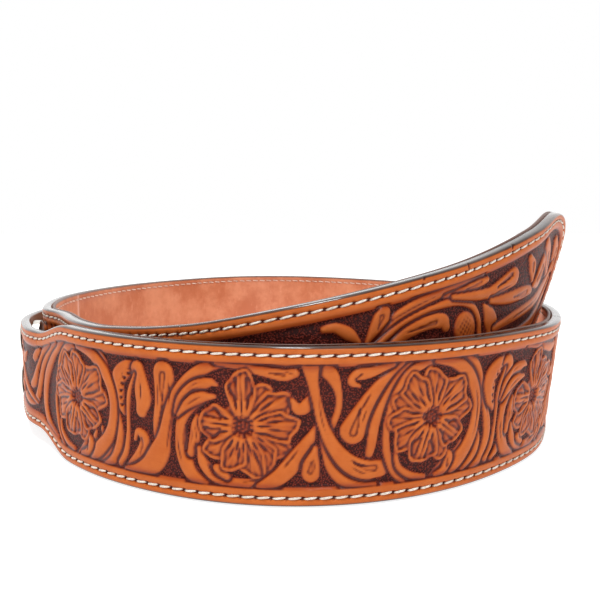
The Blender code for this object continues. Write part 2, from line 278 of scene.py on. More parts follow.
strap = Strap()
alongs = np.linspace(0, strap.length, GUIDE_STEPS)
reach = strap.half_width(alongs)
edges = np.concatenate([strap.place(alongs, STRAP_WIDTH / 2 + side * reach, depth + 0 * reach)
                        for side in (-1, 1) for depth in (EDGE_BEVEL, LEATHER)])
node_low, node_high = (np.array(corner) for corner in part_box("tooled_strap"))
strap.shift = (node_low + node_high) / 2 - (edges.min(axis=0) + edges.max(axis=0)) / 2
strap.shift[2] = 0.0
print("strap", round(strap.length / MM), "mm long, moved by", np.round(strap.shift / MM, 2), "mm")

# %% [markdown]
# Tooling starts with a swivel knife: it cuts each outline. A beveller then presses the
# leather down outside the cut, and a matting stamp sinks the ground between the forms.
# Nothing is added, so a form is what was left standing. A modeller could carve it with
# sculpt brushes, but strokes can't be repeated exactly. Here the flat leather is a grid of
# heights in millimetres, and each tool is a short function that lowers some of them.

# %% The flat leather and its tools
MIDDLE = STRAP_WIDTH / MM / 2
BORDER = 4.4
STITCH_INSET = 2.15
STITCH_PITCH = 3.695
GROUND_DEPTH = 0.80
EDGE_ROUND = 0.85
END_TRIM = 0.2
END = strap.length / MM - END_TRIM
ROUNDED_END = 45
OUTLINE_LONG = 60
OUTLINE_STEPS = 60
BORDER_SLOPE = 0.8
BORDER_KEPT = 0.3

# A standing form: the beveller's reach and depth beside it, how far the form falls from
# its middle to its cut, and how wide the cut's own slope is
BEVEL_REACH = 1.7
BEVEL_DEPTH = GROUND_DEPTH + 0.06
FORM_CROWN = 0.34
CROWN_REACH = 1.3
RIM_DROP = 0.22
RIM_REACH = 0.28
CUT_SLOPE = 0.4

# A knife cut: its depth, the half width that it adds, and how fast it tapers at its start
# and at its end. A scoop: its depth, its steep side and its fading side.
CUT_DEPTH = 0.4
BLADE_HALF = 0.16
CUT_TAPERS = (4.0, 2.2)
CUP_DEPTH = 0.35
CUP_STEEP = 0.25
CUP_FADE = 0.9

# A bead: the ring pressed round it, as a depth, a radius and a width, and its dome
BEAD_RING = (0.30, 1.15, 0.3)
BEAD_DOME = 0.22


def smooth_line(points, steps=7):
    """Catmull-Rom line through rows of places and half widths."""
    rows = np.asarray(points, float)
    padded = np.vstack([2 * rows[0] - rows[1], rows, 2 * rows[-1] - rows[-2]])
    t = (np.arange(steps) / steps)[:, None]
    spans = []
    for a, b, c, d in zip(padded, padded[1:], padded[2:], padded[3:]):
        spans.append(0.5 * (2 * b + (c - a) * t + (2 * a - 5 * b + 4 * c - d) * t ** 2
                            + (3 * b - a - 3 * c + d) * t ** 3))
    return np.vstack(spans + [rows[-1:]])


def nearest(u, v, line):
    """Distance of flat places from a line, and the length along it as a share."""
    best = np.full(u.shape, np.inf)
    share = np.zeros(u.shape)
    if not u.size:
        return best, share
    lengths = arc_lengths(line[:, :2])
    for k in range(len(line) - 1):
        ax, ay = line[k, :2]
        bx, by = line[k + 1, 0] - ax, line[k + 1, 1] - ay
        square = max(bx * bx + by * by, 1e-12)
        t = np.clip(((u - ax) * bx + (v - ay) * by) / square, 0, 1)
        gap = np.hypot(u - ax - t * bx, v - ay - t * by)
        closer = gap < best
        best = np.where(closer, gap, best)
        share = np.where(closer, lengths[k] + t * (lengths[k + 1] - lengths[k]), share)
    return best, share / lengths[-1]


class Hide:
    """A stretch of flat leather as a grid of places and heights, in millimetres."""

    def __init__(self, start, end, pitch):
        self.u = np.linspace(start, end, int(round((end - start) / pitch)) + 1)
        half = strap.half_width(self.u * MM) / MM
        fine_edge = np.array([0.0, 0.05, 0.18, 0.40, 0.68])
        count = int(round((2 * MIDDLE - 2) / pitch))
        across = np.linspace(0, 1, count + 1)
        low, high = MIDDLE - half, MIDDLE + half
        inner = low[:, None] + 1.0 + across[None, :] * (high - low - 2.0)[:, None]
        self.v = np.hstack([low[:, None] + fine_edge, inner, high[:, None] - fine_edge[::-1]])
        self.along = np.repeat(self.u[:, None], self.v.shape[1], axis=1)
        self.height = np.zeros_like(self.v)
        self.ground = np.zeros_like(self.v)
        self.inset = self.edge_distance()

    def edge_distance(self):
        """Distance from the strap's outline, also round the tip and the flap's corners."""
        half = strap.half_width(self.along * MM) / MM
        inset = half - np.abs(self.v - MIDDLE)
        for end, way in ((END_TRIM, 1), (END, -1)):
            columns = np.abs(self.u - end) < ROUNDED_END
            if columns.any():
                u = end + way * np.linspace(0, 1, OUTLINE_STEPS) ** 2 * OUTLINE_LONG
                h = strap.half_width(u * MM) / MM
                outline = np.vstack([np.column_stack([u[::-1], MIDDLE - h[::-1]]),
                                     np.column_stack([u, MIDDLE + h])])
                gap, _ = nearest(self.along[columns], self.v[columns], outline)
                inset[columns] = np.minimum(inset[columns], gap)
        return np.maximum(inset, 0)

    def window(self, low, high, reach):
        """The columns from low to high, and as far beside them as a tool reaches."""
        first, last = np.searchsorted(self.u, (low - reach, high + reach))
        return slice(first, last)

    def round_place(self, u, v, reach, stretch=1.0):
        """The columns round a place, and their distances from it."""
        columns = self.window(u, u, reach)
        return columns, np.hypot((self.along[columns] - u) / stretch, self.v[columns] - v)

    def along_line(self, line, reach):
        """The columns round a line, their distance from it, the share along it, its half width."""
        columns = self.window(line[:, 0].min(), line[:, 0].max(), reach)
        gap, share = nearest(self.along[columns], self.v[columns], line)
        lengths = arc_lengths(line[:, :2])
        return columns, gap, share, np.interp(share, lengths / lengths[-1], line[:, 2])

    def sink_ground(self):
        """Everything inside the border goes down to the level of the matted ground."""
        self.ground = np.clip((self.inset - BORDER) / BORDER_SLOPE, 0, 1)
        self.height -= GROUND_DEPTH * eased(self.ground)

    def stand(self, columns, inside, crown=FORM_CROWN, reach=BEVEL_REACH, floor=BEVEL_DEPTH):
        """Leaves a form standing at the leather's own level and bevels what is round it."""
        height = self.height[columns]
        pressed = height + (-floor - height) * np.clip(1 + inside / reach, 0, 1) ** 2
        roll = RIM_DROP * np.exp(-np.maximum(inside, 0) / RIM_REACH)
        slope = crown * np.exp(-np.maximum(inside, 0) / CROWN_REACH)
        field = np.clip((self.inset[columns] - BORDER + BORDER_KEPT) / BORDER_KEPT, 0, 1)
        form = eased(np.clip(inside / CUT_SLOPE + 0.5, 0, 1))
        mixed = np.minimum(height, pressed) * (1 - form) + (-roll - slope) * form
        self.height[columns] = mixed * field + height * (1 - field)
        self.ground[columns] *= 1 - form * field

    def blade(self, points, crown=FORM_CROWN):
        """A stem, a leaf or a lobe: a line with a half width at each of its places."""
        columns, gap, _, width = self.along_line(smooth_line(points), 6)
        self.stand(columns, width - gap, crown)

    def cut(self, points, depth=CUT_DEPTH):
        """A tapered knife cut. It leaves the matted ground alone."""
        columns, gap, share, width = self.along_line(smooth_line(points, 4), 2)
        taper = np.clip(np.minimum(share * CUT_TAPERS[0], (1 - share) * CUT_TAPERS[1]), 0, 1)
        groove = np.clip(1 - gap / ((width + BLADE_HALF) * (0.3 + 0.7 * taper) + 1e-6), 0, 1)
        self.height[columns] -= depth * groove * taper * (self.ground[columns] < 0.5)

    def cup(self, points, depth=CUP_DEPTH):
        """A scooped hollow inside a leaf: steep at its outline, fading to its middle."""
        columns, gap, _, width = self.along_line(smooth_line(points), 3)
        inside = width - gap
        fall = np.clip(inside / CUP_STEEP, 0, 1) * np.exp(-np.maximum(inside - CUP_STEEP, 0) / CUP_FADE)
        self.height[columns] -= depth * fall

    def pit(self, u, v, radius, depth):
        """A seed stamp or a stitch hole."""
        columns, gap = self.round_place(u, v, radius * 2)
        self.height[columns] -= depth * np.clip(1 - (gap / radius) ** 2, 0, 1)

    def bead(self, u, v, radius):
        """A small round seed that stands in a pressed ring."""
        columns, gap = self.round_place(u, v, radius * 3)
        depth, middle, width = BEAD_RING
        ring = -depth * np.exp(-((gap / radius - middle) / width) ** 2)
        self.height[columns] += ring + BEAD_DOME * np.clip(1 - (gap / radius) ** 2, 0, 1)


# %% [markdown]
# A flower is a ring of petals round a seeded middle. Each petal is an egg-shaped outline
# with a ruffled end, cut from back to front so that the last ones overlap the rest. Its
# middle is cupped, so the rim catches the light, and knife cuts fan out from the seeds.

# %% The outline of a petal
PETAL_START = 1.7
PETAL_STEPS = 73
RUFFLE_LONG = 0.07
RUFFLE_WIDE = 0.12
RUFFLE_REACH = 1.6


def petal_outline(middle_v, angle, length, width, lobes):
    """Closed outline of a petal in flat millimetres, as lengths off the flower's middle."""
    turn = np.linspace(0, 2 * math.pi, PETAL_STEPS)
    off_end = turn - math.pi
    swell = 0.5 - 0.5 * np.cos(turn)
    x = PETAL_START + length * swell
    y = width * np.sign(np.sin(turn)) * np.abs(np.sin(turn)) ** 0.75 * (0.50 + 0.50 * swell)
    wave = lobes * off_end + 0.9 * math.sin(angle)
    point = 1 - 2 * np.abs(np.sin(wave / 2))
    ruffle = (0.4 * np.cos(wave) + 0.6 * point) * np.exp(-(off_end / RUFFLE_REACH) ** 4)
    x += RUFFLE_LONG * length * ruffle
    y *= 1 + RUFFLE_WIDE * ruffle
    a = math.radians(angle)
    return np.column_stack([x * math.cos(a) - y * math.sin(a),
                            middle_v + x * math.sin(a) + y * math.cos(a)])


def inside_outline(u, v, outline):
    """Distance inside a closed outline, below zero outside it."""
    gap, _ = nearest(u, v, outline)
    crossings = np.zeros(u.shape, int)
    for (ax, ay), (bx, by) in zip(outline, outline[1:]):
        spans = (ay > v) != (by > v)
        if ay != by:
            crossings += spans & (u < (bx - ax) * (v - ay) / (by - ay) + ax)
    return np.where(crossings % 2 == 1, gap, -gap)


# %% One petal
PETAL_STAND = {"crown": 0.12, "reach": 1.0, "floor": 0.66}
PETAL_DROP = 0.13
PETAL_CUP = 0.44
CUP_EDGE = 0.62
CUP_SLOPE = 0.34
WAVE_HIGH = 0.06
WAVE_TURN = 4.4

# Veins of a plain petal: their side, and where they start and end along it
VEINS = ((-0.75, 0.12, 0.60), (-0.30, 0.28, 0.84), (0.12, 0.10, 0.66), (0.50, 0.24, 0.80),
         (0.85, 0.14, 0.52))
VEIN_DEPTH = 0.52


def petal(hide, centre, angle, length, width, lobes, stretch, cups):
    """One petal, its cupped middle, and its scoops or its veins."""
    outline = petal_outline(centre[1], angle, length, width, lobes)
    outline[:, 0] = centre[0] + outline[:, 0] * stretch
    columns = hide.window(outline[:, 0].min(), outline[:, 0].max(), 3)
    if columns.stop <= columns.start:
        return
    inside = inside_outline(hide.along[columns], hide.v[columns], outline)
    hide.stand(columns, inside, **PETAL_STAND)
    cos, sin = math.cos(math.radians(angle)), math.sin(math.radians(angle))
    off_u = (hide.along[columns] - centre[0]) / stretch
    off_v = hide.v[columns] - centre[1]
    outwards = (off_u * cos + off_v * sin - PETAL_START) / length
    fade = np.exp(-np.maximum(inside - CUP_EDGE - CUP_SLOPE, 0) / 1.5)
    cupped = eased(np.clip((inside - CUP_EDGE) / CUP_SLOPE, 0, 1)) * fade
    waves = WAVE_HIGH * np.cos((off_u * sin - off_v * cos) * WAVE_TURN) * np.clip(inside, 0, 1)
    hide.height[columns] -= PETAL_DROP * np.clip(inside / CUT_SLOPE + 0.5, 0, 1) + waves
    hide.height[columns] -= PETAL_CUP * cupped * np.clip((outwards - 0.22) / 0.3, 0, 1)

    def place(out, aside, half):
        """A place on the petal, from shares of its length and of its half width."""
        x, y = PETAL_START + length * out, width * aside
        return centre[0] + (x * cos - y * sin) * stretch, centre[1] + x * sin + y * cos, half

    if cups:
        for side in (-1, 1):
            hide.cup([place(0.42, side * 0.20, 0.5), place(0.66, side * 0.42, width * 0.26),
                      place(0.80, side * 0.36, width * 0.20)], 0.34)
            hide.cut([place(0.12, side * 0.20, 0.12), place(0.40, side * 0.34, 0.30),
                      place(0.62, side * 0.58, 0.10)], 0.5)
        hide.cut([place(0, 0, 0.2), place(0.5, 0, 0.26), place(0.95, 0, 0.1)], 0.38)
    else:
        for side, near, far in VEINS:
            hide.cut([place(near, side * 0.34, 0.12), place((near + far) / 2, side * 0.50, 0.30),
                      place(far, side * 0.74, 0.12)], VEIN_DEPTH)


# %% The two flowers
# Petals from back to front: direction in degrees, length and half width in mm,
# lobes of the ruffled end, and whether it has two cups like the petals in front
WILD_ROSE = (
    (60, 9.8, 4.0, 3, False),
    (32, 11.6, 5.2, 5, False),
    (-30, 10.8, 4.6, 5, False),
    (2, 11.6, 4.8, 5, False),
    (-52, 10.2, 4.2, 4, False),
    (-140, 9.8, 4.6, 4, False),
    (-74, 11.0, 4.4, 4, False),
    (-108, 9.6, 4.3, 4, False),
    (176, 9.0, 5.9, 4, True),
    (92, 11.6, 4.9, 4, True),
)
ROUND_ROSE = (
    (-72, 9.4, 4.2, 4, False),
    (154, 10.2, 4.6, 5, False),
    (10, 10.4, 4.7, 4, False),
    (182, 10.2, 4.5, 4, False),
    (-149, 10.2, 4.8, 5, False),
    (40, 11.0, 5.4, 5, False),
    (90, 10.4, 4.9, 4, False),
    (124, 11.0, 4.9, 5, False),
    (-36, 8.8, 5.2, 4, True),
    (-108, 9.6, 5.8, 4, True),
)


BED = {"radius": 6.0, "depth": 0.42}
BOWL = {"radius": 3.0, "depth": 0.35}
SEED_RADIUS = 0.46
SEED_RINGS = ((0.0, 1), (1.05, 6), (2.1, 12))


def flower(hide, centre, petals, stretch=1.0):
    """Petals from back to front, then the seeds in their sunk middle."""
    bed, away = hide.round_place(*centre, 8 * stretch, stretch)
    hide.stand(bed, BED["radius"] - away, 0.1)
    hide.height[bed] -= BED["depth"] * np.clip((BED["radius"] + 0.3 - away) / 0.6, 0, 1)
    for angle, length, width, lobes, cups in petals:
        petal(hide, centre, angle, length, width, lobes, stretch, cups)
    bowl, away = hide.round_place(*centre, 6, stretch)
    hide.height[bowl] -= BOWL["depth"] * np.sqrt(np.clip(1 - away / BOWL["radius"], 0, 1))
    stained = np.clip((BOWL["radius"] - 0.3 - away) / 0.6, 0, 0.4)
    hide.ground[bowl] = np.maximum(hide.ground[bowl], stained)
    for ring, count in SEED_RINGS:
        for k in range(count):
            a = 2 * math.pi * (k + 0.4 * ring) / count
            hide.bead(centre[0] + ring * math.cos(a) * stretch, centre[1] + ring * math.sin(a), SEED_RADIUS)


print(len(WILD_ROSE) + len(ROUND_ROSE), "petals in the two flowers")


# %% [markdown]
# The flowers sit in a vine of stems and leaves. A stem is a line through four to eight
# places, each with its half width, so one short row gives a whole stroke of the knife.
# The rows below are lengths in millimetres from the flap's end and heights from the
# strap's lower edge. The pattern repeats along the belt, as a stamped and carved one does.

# %% Rows of the pattern: stems and leaves of one repeat
ROSE_AT = (104.3, 19.6)
WILD_ROSE_AT = (159.6, 18.8)

ROSE_RING = (
    ((97, 4.4, 1.3), (93.8, 8, 1.3), (92, 13, 1.1), (92, 19, 1.0), (93.6, 25, 1.1),
     (96.4, 29.8, 1.2), (100.4, 32.7, 1.3), (106, 33.8, 1.2)),
    ((94.4, 12.6, 0.5), (95.2, 8.4, 0.9), (98.5, 5.8, 1.0), (102.5, 4.8, 0.8)),
    ((105, 33.8, 1.2), (110.5, 32.6, 1.7), (115, 29.2, 1.9), (118, 24, 1.7), (118.6, 18, 1.7),
     (117, 12, 2.0), (112.5, 7, 2.2), (107, 4.5, 1.6)),
    ((108.8, 10.5, 0.7), (110.2, 8.6, 1.4), (108.6, 5.6, 1.2), (106, 4.6, 0.8)),
)
SEED_LEAF = (
    ((113, 33.8, 1.1), (117, 31.6, 1.4), (119.4, 27, 1.4), (121.4, 21.5, 1.3), (123.3, 16, 1.5),
     (123.7, 11, 1.7), (121.5, 6.8, 1.9), (116, 4.4, 1.6)),
    ((125.6, 18.9, 0.9), (123.6, 22.3, 2.1), (123.4, 27, 2.6), (126.2, 29.9, 2.3), (130.2, 31, 1.6)),
    ((131.6, 20.2, 1.9), (132.2, 23.2, 2.7), (131.4, 27, 2.5), (130.4, 30.4, 2.2)),
    ((124, 5.6, 1.1), (126, 9, 1.0), (126.9, 14, 0.8), (127.0, 19, 0.7), (127.4, 24, 0.8),
     (129.4, 29.2, 0.4)),
    ((126.5, 5.2, 0.8), (129.8, 7.9, 1.5), (132.2, 11, 1.8), (132.2, 13.6, 1.6), (130.2, 14.6, 1.0),
     (129.2, 12.6, 0.6)),
    ((105, 4.4, 0.9), (109, 7.2, 1.6), (112.5, 9.6, 1.2), (114, 12.2, 0.5)),
    ((110, 4.6, 1.0), (114, 7.4, 1.5), (116.6, 10.6, 1.0), (116.5, 13.6, 0.5)),
    ((114.5, 4.6, 0.9), (118.6, 7.8, 1.3), (119.9, 11.4, 1.3), (119.4, 14.4, 0.7)),
)
FORK = (
    ((136.2, 12.5, 0.8), (136.8, 18, 1.6), (138.2, 23, 2.4), (138.8, 27.4, 3.1), (138.6, 30.2, 3.1)),
    ((126, 4.2, 1.0), (130.5, 5.4, 1.6), (134.8, 7.4, 3.0), (137.4, 11, 3.0), (138.7, 15, 2.0),
     (139.9, 20, 1.6), (142.5, 25.3, 1.8), (146.8, 29.8, 1.9), (152, 33.2, 1.5), (158, 33.9, 1.0)),
)
SCROLL = (
    ((150, 4.4, 1.4), (146.2, 6.6, 2.0), (144.2, 11, 2.2), (143.4, 15.5, 1.6), (143.9, 19.5, 1.5),
     (146.4, 22.6, 1.3), (149.6, 24.2, 0.7)),
    ((141.8, 20.8, 0.5), (144, 24.4, 1.6), (147.6, 27.4, 1.9), (151.4, 28.9, 1.2), (153.2, 28.4, 0.5)),
    ((142.6, 20.2, 0.4), (145.6, 23.4, 1.4), (149, 25.2, 1.5), (152.6, 25.6, 0.6)),
    ((148, 20.6, 0.5), (147.6, 18.6, 1.2), (147.4, 15.6, 1.5), (146.3, 11.6, 1.2)),
    ((148.6, 12.8, 0.8), (149.6, 9.4, 1.5), (152.4, 6.6, 1.6), (157, 5.2, 1.4), (162, 5.3, 1.4),
     (167, 7.4, 1.3)),
    ((154.4, 9.4, 0.4), (153.2, 8.2, 1.3), (155.6, 6.6, 1.0)),
    ((153, 33.9, 0.8), (158, 33.4, 1.1), (164, 32.3, 1.3), (169.2, 31.4, 1.5), (172, 31.9, 1.2)),
)
CROSSING = (
    ((164, 4.4, 1.5), (168.6, 7.4, 2.1), (172.3, 11.5, 2.2), (175, 15.5, 1.6), (176.8, 19.2, 0.5)),
    ((176.8, 14, 0.8), (175.9, 10.4, 2.1), (175.7, 8, 2.2)),
    ((176.8, 28, 0.6), (175, 24.6, 1.6), (172.8, 23.6, 1.6), (171.4, 25.6, 0.6)),
    ((177.6, 33.8, 2.2), (180.4, 31.4, 1.8), (182, 27.4, 1.0), (182.1, 23.6, 0.9), (181, 20.2, 0.9),
     (179.6, 17.4, 0.9)),
    ((198, 33.6, 1.1), (193.8, 30.4, 1.5), (190.4, 26, 2.2), (187.8, 21.5, 3.0), (185.6, 18.0, 3.3)),
    ((195, 33.6, 1.0), (190, 31.9, 1.4), (186.6, 31.2, 1.6), (185.2, 29.6, 1.1), (187, 28.6, 0.5)),
    ((200, 33.2, 0.9), (196.4, 29.6, 1.1), (193.0, 24.5, 1.2), (191.0, 19.5, 1.4), (190.2, 14.6, 1.3),
     (189.6, 11.8, 1.0)),
    ((178.9, 17, 1.2), (179.8, 13, 1.6), (181.2, 9, 1.8), (184.5, 5.6, 1.6), (191, 4.4, 1.0)),
    ((175.6, 33.9, 2.3), (176.2, 29.5, 1.4), (177.2, 24.5, 1.2), (178.6, 19.5, 1.4), (181, 14.4, 1.8),
     (184.4, 10.4, 2.3), (188.5, 8.4, 2.5), (192.6, 8.4, 2.2)),
)
# Hollows scooped into the leaves, and the knife cuts that finish them
CUPS = (
    ((138.4, 23.4, 0.3), (138.3, 26.4, 0.9), (138.6, 29.8, 1.1)),
    ((130.9, 8.9, 0.3), (131.9, 11.4, 0.6), (131.6, 13.1, 0.6)),
    ((144.8, 12, 0.4), (144.6, 15, 0.7), (145.2, 18, 0.5)),
    ((187.2, 23.4, 0.3), (186.3, 20, 0.9), (185.6, 17.6, 1.2)),
    ((185.8, 10.2, 0.3), (188.6, 8.9, 0.8), (191, 8.7, 1.0)),
    ((175.9, 11, 0.4), (175.6, 8.6, 0.9)),
    ((187.4, 31.4, 0.4), (186, 30.3, 0.5)),
    ((166, 31.9, 0.3), (169.6, 31.4, 0.6)),
    ((109.6, 8.4, 0.3), (109.6, 6.6, 0.6)),
)
CUTS = (
    ((137.2, 16, 0.15), (138.1, 22, 0.25), (138.5, 27, 0.1)),
    ((136.9, 20, 0.12), (137, 26, 0.24), (137.3, 30.4, 0.1)),
    ((140.3, 22, 0.12), (140.4, 26, 0.22), (140.2, 30, 0.1)),
    ((139.3, 9, 0.12), (140, 15, 0.2), (141.6, 21.5, 0.2), (146, 27.6, 0.1)),
    ((144.2, 8, 0.12), (142.9, 13, 0.2), (142.8, 18, 0.1)),
    ((190.4, 28, 0.12), (187.5, 23, 0.24), (186.2, 20, 0.1)),
    ((188.8, 23.6, 0.1), (187.9, 20.6, 0.2), (187, 18.4, 0.1)),
    ((184, 12, 0.1), (187.6, 9.6, 0.22), (191.4, 9.6, 0.1)),
    ((184.4, 10.4, 0.1), (187.8, 7.8, 0.22), (191.4, 7.4, 0.1)),
    ((176.3, 12.6, 0.1), (176.6, 9.6, 0.2), (176.9, 7.6, 0.1)),
    ((177.4, 27, 0.1), (178.2, 21, 0.2), (180.2, 14.8, 0.1)),
    ((116.4, 28, 0.1), (118.6, 22, 0.2), (118.4, 15, 0.2), (115.4, 9, 0.1)),
    ((90.6, 10, 0.1), (90.4, 18, 0.2), (93.4, 26, 0.1)),
    ((120.4, 25.5, 0.1), (122.6, 19, 0.2), (124.2, 13.5, 0.1)),
    ((168.4, 8.4, 0.1), (171.6, 12.2, 0.2), (174.4, 16.4, 0.1)),
    ((169, 32.4, 0.1), (171.6, 31.6, 0.2), (172.6, 30.4, 0.1)),
    ((131.6, 22, 0.1), (131.7, 26, 0.22), (131.2, 29.4, 0.1)),
    ((143.6, 23.6, 0.1), (147, 26.9, 0.2), (150.4, 28.2, 0.1)),
    ((144.8, 26, 0.1), (147.4, 28.2, 0.2), (150.6, 29.2, 0.1)),
    ((144.4, 22.4, 0.1), (148.4, 25.0, 0.2), (151.4, 25.6, 0.1)),
    ((147.2, 19.4, 0.1), (147.9, 15.8, 0.2), (147.2, 12.4, 0.1)),
    ((146.6, 18.2, 0.1), (146.8, 15.4, 0.2), (146.0, 12.8, 0.1)),
    ((150, 11, 0.1), (152, 7.8, 0.2), (156.4, 5.8, 0.1)),
    ((158, 5.8, 0.1), (161.6, 5.9, 0.2), (165.4, 7.4, 0.1)),
)
SEED_PITS = ((124.9, 21.4), (124.6, 23.2), (124.7, 25), (125.2, 26.8), (126, 28.4), (127.4, 29.6))

SEED_POD = 0.52
POD_CUT = {"radius": 0.55, "depth": 0.6}

# %% One group of the pattern
# Each group: its stems and leaves, the lengths between which its details lie, and its
# flower's place and petals. Only a group with a flower can be drawn out along the strap.
GROUPS = {
    "rose": (ROSE_RING, 88, 120, ROSE_AT, ROUND_ROSE),
    "seed leaf": (SEED_LEAF, 120, 136, None, ()),
    "fork": (FORK, 136, 141, None, ()),
    "wild rose": (SCROLL, 141, 164, WILD_ROSE_AT, WILD_ROSE),
    "crossing": (CROSSING, 164, 200, None, ()),
}


def moved(rows, by, about=0.0, stretch=1.0):
    """The same rows further along the strap."""
    return [((u - about) * stretch + about + by, v, r) for u, v, r in rows]


def tool_details(hide, low, high, by):
    """The scoops, cuts and seeds whose places lie between two lengths of the first repeat."""
    for tool, table in ((hide.cup, CUPS), (hide.cut, CUTS)):
        for rows in table:
            if low <= rows[0][0] < high:
                tool(moved(rows, by))
    for u, v in SEED_PITS:
        if low <= u < high:
            hide.bead(u + by, v, SEED_POD)
            hide.pit(u + by, v - 0.6, **POD_CUT)


def tool_group(hide, name, by, stretch=1.0):
    """Blades first, then the details inside them, then the flower on top."""
    table, low, high, flower_at, petals = GROUPS[name]
    for rows in table:
        hide.blade(moved(rows, by, flower_at[0] if flower_at else 0.0, stretch))
    tool_details(hide, low, high, by)
    if flower_at:
        flower(hide, (flower_at[0] + by, flower_at[1]), petals, stretch)


print(sum(len(group[0]) for group in GROUPS.values()), "stems and leaves in one repeat")

# %% [markdown]
# The flap and the tip have drawings of their own, because the vine has to end there. The
# flap's stems run round its snaps, and each snap keeps a plain round bed. The tip has a
# scroll round a cross-hatched nut, and leaves that fan out towards the end.

# %% Rows of the flap and of the tip
SNAP_FROM_END = 30.1
SNAP_HEIGHTS = (26.55, 11.55)
SNAP_BED = 7.4
NOSE = (
    ((98, 33.6, 1.0), (90.5, 31, 1.7), (85.4, 27, 2.0), (81.2, 22, 2.1), (79.2, 16, 1.9),
     (79.7, 11, 1.7), (83, 7, 1.9), (90, 4.6, 1.5)),
    ((90, 32.6, 0.8), (84, 29.6, 1.3), (78, 24.5, 1.6), (75, 19, 1.6), (72, 13.6, 1.6),
     (66, 11.6, 1.4), (58, 12, 1.3)),
    ((84, 31.6, 0.9), (77, 27.6, 1.2), (73, 22.6, 1.3), (70.4, 18.6, 1.8), (68, 17, 1.4)),
    ((75, 28.4, 0.8), (72.4, 26.8, 1.6), (70.6, 25.6, 1.4)),
    ((72, 12, 0.6), (62, 15.6, 1.4), (52, 19.6, 1.5), (44, 25, 1.2), (38, 27, 0.8)),
    ((62, 26, 0.5), (57, 23.6, 1.8), (53, 23.8, 1.5)),
    ((54, 11.6, 0.6), (49, 13.6, 1.8), (45, 13.4, 1.4)),
    ((44, 24.4, 0.6), (37, 20.6, 1.4), (30, 18, 1.5), (22, 14.6, 1.3), (15, 11.6, 0.8)),
    ((42, 11.4, 0.6), (38, 14, 1.9), (34, 13.2, 1.4)),
    ((34, 25.8, 0.6), (29, 23.6, 1.9), (24, 24.6, 1.4)),
    ((24, 14.8, 0.6), (17, 18.4, 1.4), (11, 22.6, 1.2), (8, 26, 0.6)),
)
TIP = (
    ((790, 24, 1.6), (800, 24.6, 1.4), (807, 27, 1.5), (814, 30.2, 1.8), (822, 32.2, 1.6),
     (832, 33.2, 1.2), (843.2, 33.5, 0.8)),
    ((793.6, 31.2, 1.0), (796.4, 31, 1.4), (799.4, 28.8, 1.7), (801.6, 26.2, 0.7)),
    ((803.6, 25.8, 0.7), (806, 28.4, 1.6), (808.2, 30.6, 2.2), (809.2, 32, 1.8)),
    ((827, 31.3, 0.5), (834, 31.4, 1.0), (840.6, 31.6, 1.3), (845.5, 31.7, 0.9)),
    ((805, 24, 0.8), (813, 27.4, 1.2), (822, 29.3, 1.1), (830, 29.3, 1.1), (836.4, 27, 1.1),
     (839.4, 22.5, 1.1), (839, 16, 1.0)),
    ((808, 22.6, 0.9), (814, 25.2, 1.6), (821, 26.3, 1.9), (825.4, 25.5, 2.1), (826.4, 23.8, 1.5)),
    ((830, 30.6, 0.8), (838, 29, 1.4), (846.4, 27.8, 1.7), (853.8, 28.2, 2.4), (858.3, 28.6, 2.9)),
    ((842.7, 25, 0.8), (844.7, 21.8, 3.0), (845.7, 18, 3.2), (844.2, 13, 1.8)),
    ((846.4, 25.4, 1.0), (855.4, 23.4, 1.8), (863.5, 21.9, 2.0), (869.3, 20.6, 1.5)),
    ((870.2, 23.4, 0.9), (869.7, 27.4, 2.5), (867.6, 30.8, 1.3)),
    ((884.4, 28.6, 1.0), (881.0, 24.6, 3.3), (876.7, 21.6, 3.1), (872.1, 21.2, 1.0)),
    ((890.5, 18.6, 1.5), (887.2, 25, 2.7), (882.8, 30.6, 2.0)),
    ((900.2, 17.6, 1.0), (898.0, 23.4, 3.2), (894.6, 28.4, 1.7)),
    ((846.4, 17.4, 1.0), (860, 16.6, 1.7), (873.9, 15, 1.9), (886.3, 14.4, 2.0), (894.6, 17, 1.5),
     (898.6, 21, 0.8)),
    ((840, 13.6, 1.2), (853.1, 12, 1.6), (867, 9.6, 1.7), (880.8, 8.4, 1.7), (891.6, 10.6, 1.4),
     (898.2, 15.4, 0.8)),
    ((826, 6, 1.2), (836, 8.6, 1.7), (846.4, 7.4, 1.6), (858.8, 5.4, 1.1)),
    ((800, 6, 1.4), (808, 12, 1.6), (817, 14.6, 1.5), (826, 13, 1.4), (832, 8.4, 1.3), (836, 4.6, 1.1)),
    ((812, 5, 1.0), (816, 8.6, 1.9), (822, 9.4, 1.6)),
    ((823, 17, 0.8), (818.6, 19.2, 1.6), (812.6, 19, 1.6), (806, 17, 0.8)),
)
TIP_CUPS = (
    ((806.8, 28.2, 0.3), (808.4, 31, 0.9)),
    ((835, 31.4, 0.2), (842.1, 31.8, 0.5)),
    ((849.7, 28.2, 0.3), (857.2, 29.6, 0.9)),
    ((857.7, 22.8, 0.3), (865.8, 21.4, 0.8)),
    ((869.5, 26, 0.3), (869.3, 28.6, 0.9)),
    ((874.6, 21.6, 0.4), (879.7, 24.2, 1.1)),
    ((888.4, 21.6, 0.3), (885.2, 26.4, 0.8)),
    ((899, 20.6, 0.3), (897.6, 24.6, 1.2)),
    ((814, 25.4, 0.2), (823, 25.8, 0.8)),
)
